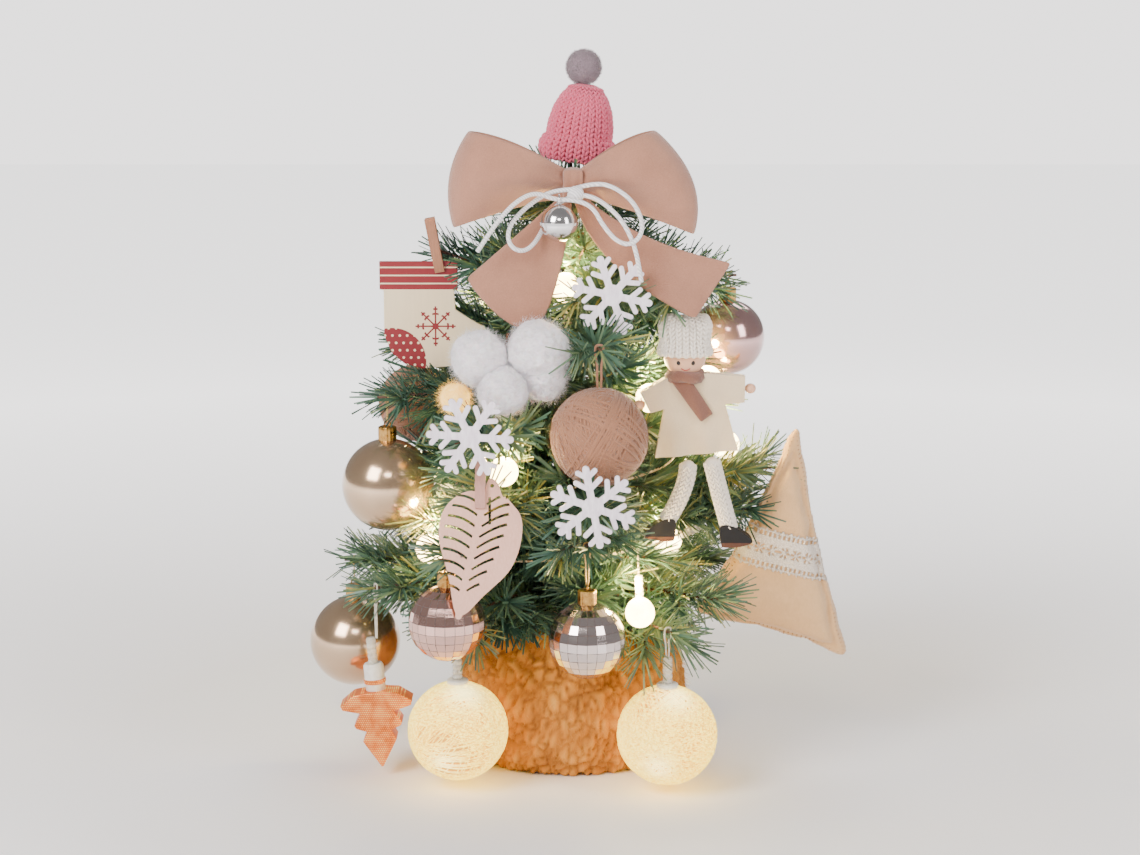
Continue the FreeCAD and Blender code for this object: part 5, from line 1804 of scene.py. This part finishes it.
# crochet lace: a fine grid on the pillow's surface with its holes left out
def addLace(tree, paint):
    width = pillow["laceWidth"]
    tilt = math.radians(pillow["laceTilt"])
    along = Vector((math.cos(tilt), 0, -math.sin(tilt)))
    across = Vector((math.sin(tilt), 0, math.cos(tilt)))
    middle = Vector((pillow["laceMiddle"][0], pillow["depth"], pillow["laceMiddle"][1])) * mm
    cell = 0.75 * mm
    rows = int(width * mm / cell)
    for side, name in ((-1, "front"), (1, "back")):
        shape = bmesh.new()
        columns = int(0.110 / cell)
        bmesh.ops.create_grid(shape, x_segments=columns, y_segments=rows, size=0.5)
        gone = []
        for vert in shape.verts:
            u, v = vert.co.x * columns * cell, vert.co.y * rows * cell
            scallop = 0.0011 * abs(math.sin(u / mm * math.pi / 5.2))
            v *= 1 - 2 * scallop / (width * mm) * (abs(v) > width * mm * 0.40)
            spot = middle + along * u + across * v + Vector((0, side * 0.06, 0))
            hit = tree.ray_cast(spot, Vector((0, -side, 0)), 0.0595)
            if hit[0] is None:
                gone.append(vert)
            else:
                vert.co = hit[0] + hit[1] * 0.0005
                vert.co.y = min(vert.co.y, hit[0].y - 0.0003) if side < 0 else max(vert.co.y, hit[0].y + 0.0003)
        holes = []
        kept = set(shape.verts) - set(gone)
        for face in shape.faces:
            if not all(vert in kept for vert in face.verts):
                continue
            spot = face.calc_center_median() - middle
            u, v = spot.dot(along) / mm, spot.dot(across) / mm
            flower = (u / 7.8) % 1.0 - 0.5, v / 7.8
            far = math.hypot(*flower)
            petal = 0.16 < far < 0.46 and math.cos(math.atan2(flower[1], flower[0]) * 6) > 0.05
            border = abs(abs(v) - width * 0.36) < 1.15 and abs((u / 3.0) % 1.0 - 0.5) < 0.33
            rim = abs(abs(v) - width * 0.465) < 0.62 and abs((u / 2.6) % 1.0 - 0.5) < 0.3
            if petal or border or rim:
                holes.append(face)
        bmesh.ops.delete(shape, geom=holes, context="FACES")
        bmesh.ops.delete(shape, geom=gone, context="VERTS")
        loose = [vert for vert in shape.verts if not vert.link_faces]
        bmesh.ops.delete(shape, geom=loose, context="VERTS")
        if side > 0:
            bmesh.ops.reverse_faces(shape, faces=shape.faces)
        piece = meshPiece("pillow_lace_" + name, shape, paint)
        addModifier(piece, "SOLIDIFY", thickness=0.0007, offset=0)
        settle(piece)
        belong(piece, "root", "lace", "pillow_lace")


def makePillow():
    felt = Finish("tanFelt", Roughness=0.95, Sheen_Weight=0.4, Sheen_Roughness=0.6)
    hair = felt.grain(1, 5.0, 0.75, place=felt.stretched((900, 900, 420)))
    nap = felt.grain(130.0, 3.0)
    felt.set("Base_Color", felt.mixed(hair * 0.5 + nap * 0.35, shade(238, 196, 142), shade(190, 140, 86)))
    felt.set("Normal", felt.bump(hair, 0.0005, 0.8, under=felt.bump(nap, 0.002, 0.35)))
    pad = meshPiece("pillow_pad", pillowStart(), felt)
    inflate(pad)
    belong(pad, "root", "pillow_felt", "pillow_body")
    tree = surfaceTree(pad)
    stitchThread = Finish("pillowThread", Roughness=0.7)
    ply = stitchThread.grain(1400.0)
    stitchThread.set("Base_Color", stitchThread.ramp(ply, (0.3, shade(150, 100, 58)), (0.7, shade(206, 150, 98))))
    addWhipStitches(tree, stitchThread)
    lace = Finish("cottonLace", Roughness=0.85, Sheen_Weight=0.3)
    knots = lace.cells(1300.0)
    lace.set("Base_Color", lace.ramp(knots, (0.1, shade(246, 238, 228)), (0.6, shade(208, 194, 178))))
    lace.set("Normal", lace.bump(knots, 0.0003, 0.8))
    addLace(tree, lace)


makePillow()
print("pillow made")

# string of lights, by the same turns as its wire; lengths in millimetres
lightString = {"turns": 4.25, "steps": 12, "low": 122, "high": 300, "wide": 90, "narrow": 40, "boxTop": (14, 91.5, 76),
               "strand": 0.00046, "pitch": 0.0085}


def stringRoute():
    top = Vector(lightString["boxTop"])
    route = [top, top + Vector((1, 1.5, 14)), top + Vector((-3, 2, 30))]
    count = int(lightString["turns"] * lightString["steps"])
    for step in range(count + 1):
        share = step / count
        turn = math.radians(90 + 360 * step / lightString["steps"])
        radius = lightString["wide"] + (lightString["narrow"] - lightString["wide"]) * share
        height = lightString["low"] + (lightString["high"] - lightString["low"]) * share
        route.append(Vector((radius * math.cos(turn), radius * math.sin(turn), height)))
    return [point * mm for point in route]


def pointsAlong(route, spacing):
    guide = curvePiece("guide", [route], 0, resolution=0)
    graph = bpy.context.evaluated_depsgraph_get()
    mesh = bpy.data.meshes.new_from_object(guide.evaluated_get(graph))
    corners = np.array([v.co for v in mesh.vertices])
    bpy.data.objects.remove(guide)
    bpy.data.meshes.remove(mesh)
    runs = np.concatenate([[0], np.cumsum(np.linalg.norm(np.diff(corners, axis=0), axis=1))])
    places = np.arange(0, runs[-1], spacing)
    return np.stack([np.interp(places, runs, corners[:, axis]) for axis in range(3)], axis=1), places


def makeString():
    wire = Finish("clearCable", Roughness=0.3, Coat_Weight=0.3)
    core = wire.grain(900.0)
    wire.set("Base_Color", wire.ramp(core, (0.35, shade(196, 160, 112)), (0.65, shade(232, 218, 188))))
    points, places = pointsAlong(stringRoute(), 0.0017)
    ways = np.gradient(points, axis=0)
    ways /= np.linalg.norm(ways, axis=1, keepdims=True)
    side = np.cross(ways, [0, 0, 1])
    side /= np.linalg.norm(side, axis=1, keepdims=True) + 1e-9
    over = np.cross(side, ways)
    turns = (2 * math.pi * places / lightString["pitch"])[:, None]
    reach = lightString["strand"]
    for number, start in enumerate((0, math.pi)):
        strand = points + (side * np.cos(turns + start) + over * np.sin(turns + start)) * reach
        cable = curvePiece(f"string_strand_{number + 1}", [strand], reach, wire, resolution=1)
        cable.data.resolution_u = 2
        belong(cable, "root", "clear_wire", "string_wire")
    return wire


def makeBulbs(clear, wire):
    glass = Finish("litGlobe", Roughness=0.4)
    warm = glass.grain(120.0)
    glass.set("Base_Color", glass.ramp(warm, (0.3, shade(255, 236, 190)), (0.7, shade(255, 246, 220))))
    glass.set("Emission_Color", glass.ramp(warm, (0.3, shade(255, 206, 120)), (0.7, shade(255, 232, 172))))
    glass.set("Emission_Strength", 22.0)
    sockets = joinedCopy("lamp_sockets", 0)
    groups = [np.array([v.co for v in group]) for group in islandsOf(sockets)]
    sockets.free()
    bulbs, holders, leads = bmesh.new(), bmesh.new(), []
    for middle in bulbMiddles:
        group = min(groups, key=lambda corners: np.linalg.norm(corners - np.array(middle), axis=1).min())
        far = np.linalg.norm(group - np.array(middle), axis=1)
        neck = Vector(group[far < far.min() + 0.0012].mean(axis=0))
        back = (neck - middle).normalized()
        stand = Matrix.Translation(middle) @ back.to_track_quat("Z", "Y").to_matrix().to_4x4()
        made = bmesh.ops.create_uvsphere(bulbs, u_segments=32, v_segments=20, radius=0.009)
        for vert in made["verts"]:
            if vert.co.z > 0.004:
                vert.co.z += (vert.co.z - 0.004) * 0.12
        bmesh.ops.transform(bulbs, matrix=stand, verts=made["verts"])
        socket = socketShape(Vector((0, 0, 0.0078)), 0.0026, 0.0162)
        bmesh.ops.transform(socket, matrix=stand, verts=socket.verts)
        mesh = bpy.data.meshes.new("socket")
        socket.to_mesh(mesh)
        socket.free()
        holders.from_mesh(mesh)
        bpy.data.meshes.remove(mesh)
        if far.max() > 0.028:
            tip = Vector(group[far > far.max() - 0.0008].mean(axis=0))
            tail = middle + back * 0.0238
            leads.append([tail, tail.lerp(tip, 0.5) - up * 0.001, tip])
    belong(meshPiece("globe_bulbs", bulbs, glass), "root", "bulb_globe", "lamp_bulbs")
    belong(meshPiece("bulb_sockets", holders, clear), "root", "clear_socket", "lamp_sockets")
    belong(curvePiece("bulb_leads", leads, 0.0006, wire), "root", "clear_wire", "lamp_sockets")


# a little warm light between each lamp and the trunk
def addGlow():
    for middle in bulbMiddles:
        data = bpy.data.lights.new("glow", "POINT")
        data.energy = 0.65
        data.color = (1.0, 0.72, 0.26)
        data.shadow_soft_size = 0.006
        lamp = bpy.data.objects.new("glow", data)
        bpy.context.scene.collection.objects.link(lamp)
        inwards = Vector((-middle.x, -middle.y, 0)).normalized()
        lamp.location = middle + inwards * 0.006 + up * 0.017


def makeBatteryBox():
    plastic = Finish("whitePlastic", Roughness=0.4)
    pits = plastic.grain(1600.0, 2.0)
    haze = plastic.grain(40.0)
    plastic.set("Base_Color", plastic.ramp(haze, (0.3, shade(218, 214, 206)), (0.7, shade(234, 231, 224))))
    plastic.set("Normal", plastic.bump(pits, 0.00008, 0.5))
    belong(refined("battery_shell", "battery_case", plastic, edge=0.0004), "root", "case_plastic", "battery_case")
    belong(refined("battery_lid", "battery_cover", plastic, edge=0.0004), "battery_cover", "case_plastic",
           "battery_cover")
    wrap = Finish("cellWrap", Roughness=0.3, Coat_Weight=0.5)
    x, y, z = wrap.axes()
    scuff = wrap.grain(200.0)
    sleeve = wrap.mixed(scuff, shade(28, 60, 92), shade(44, 84, 120))
    wrap.set("Base_Color", wrap.mixed(z > 0.043, sleeve, wrap.mixed(scuff, shade(196, 150, 70), shade(214, 176, 96))))
    belong(refined("battery_cylinders", "battery_cells", wrap, edge=0.0006), "root", "cell_wrap", "battery_cells")
    black = Finish("blackKnob", Roughness=0.5)
    ridge = black.node("ShaderNodeTexWave", {"wave_type": "BANDS", "bands_direction": "X"},
                       {"Vector": black.place(), "Scale": 320.0}, "Fac")
    black.set("Base_Color", black.mixed(ridge, shade(18, 18, 20), shade(42, 42, 44)))
    black.set("Normal", black.bump(ridge, 0.0004, 0.8))
    belong(refined("switch_slider", "switch_knob", black, edge=0.0004), "switch_knob", "knob_black", "switch_knob")


cableWire = makeString()
makeBulbs(clearPlastic, cableWire)
addGlow()
makeBatteryBox()
print("lights made")
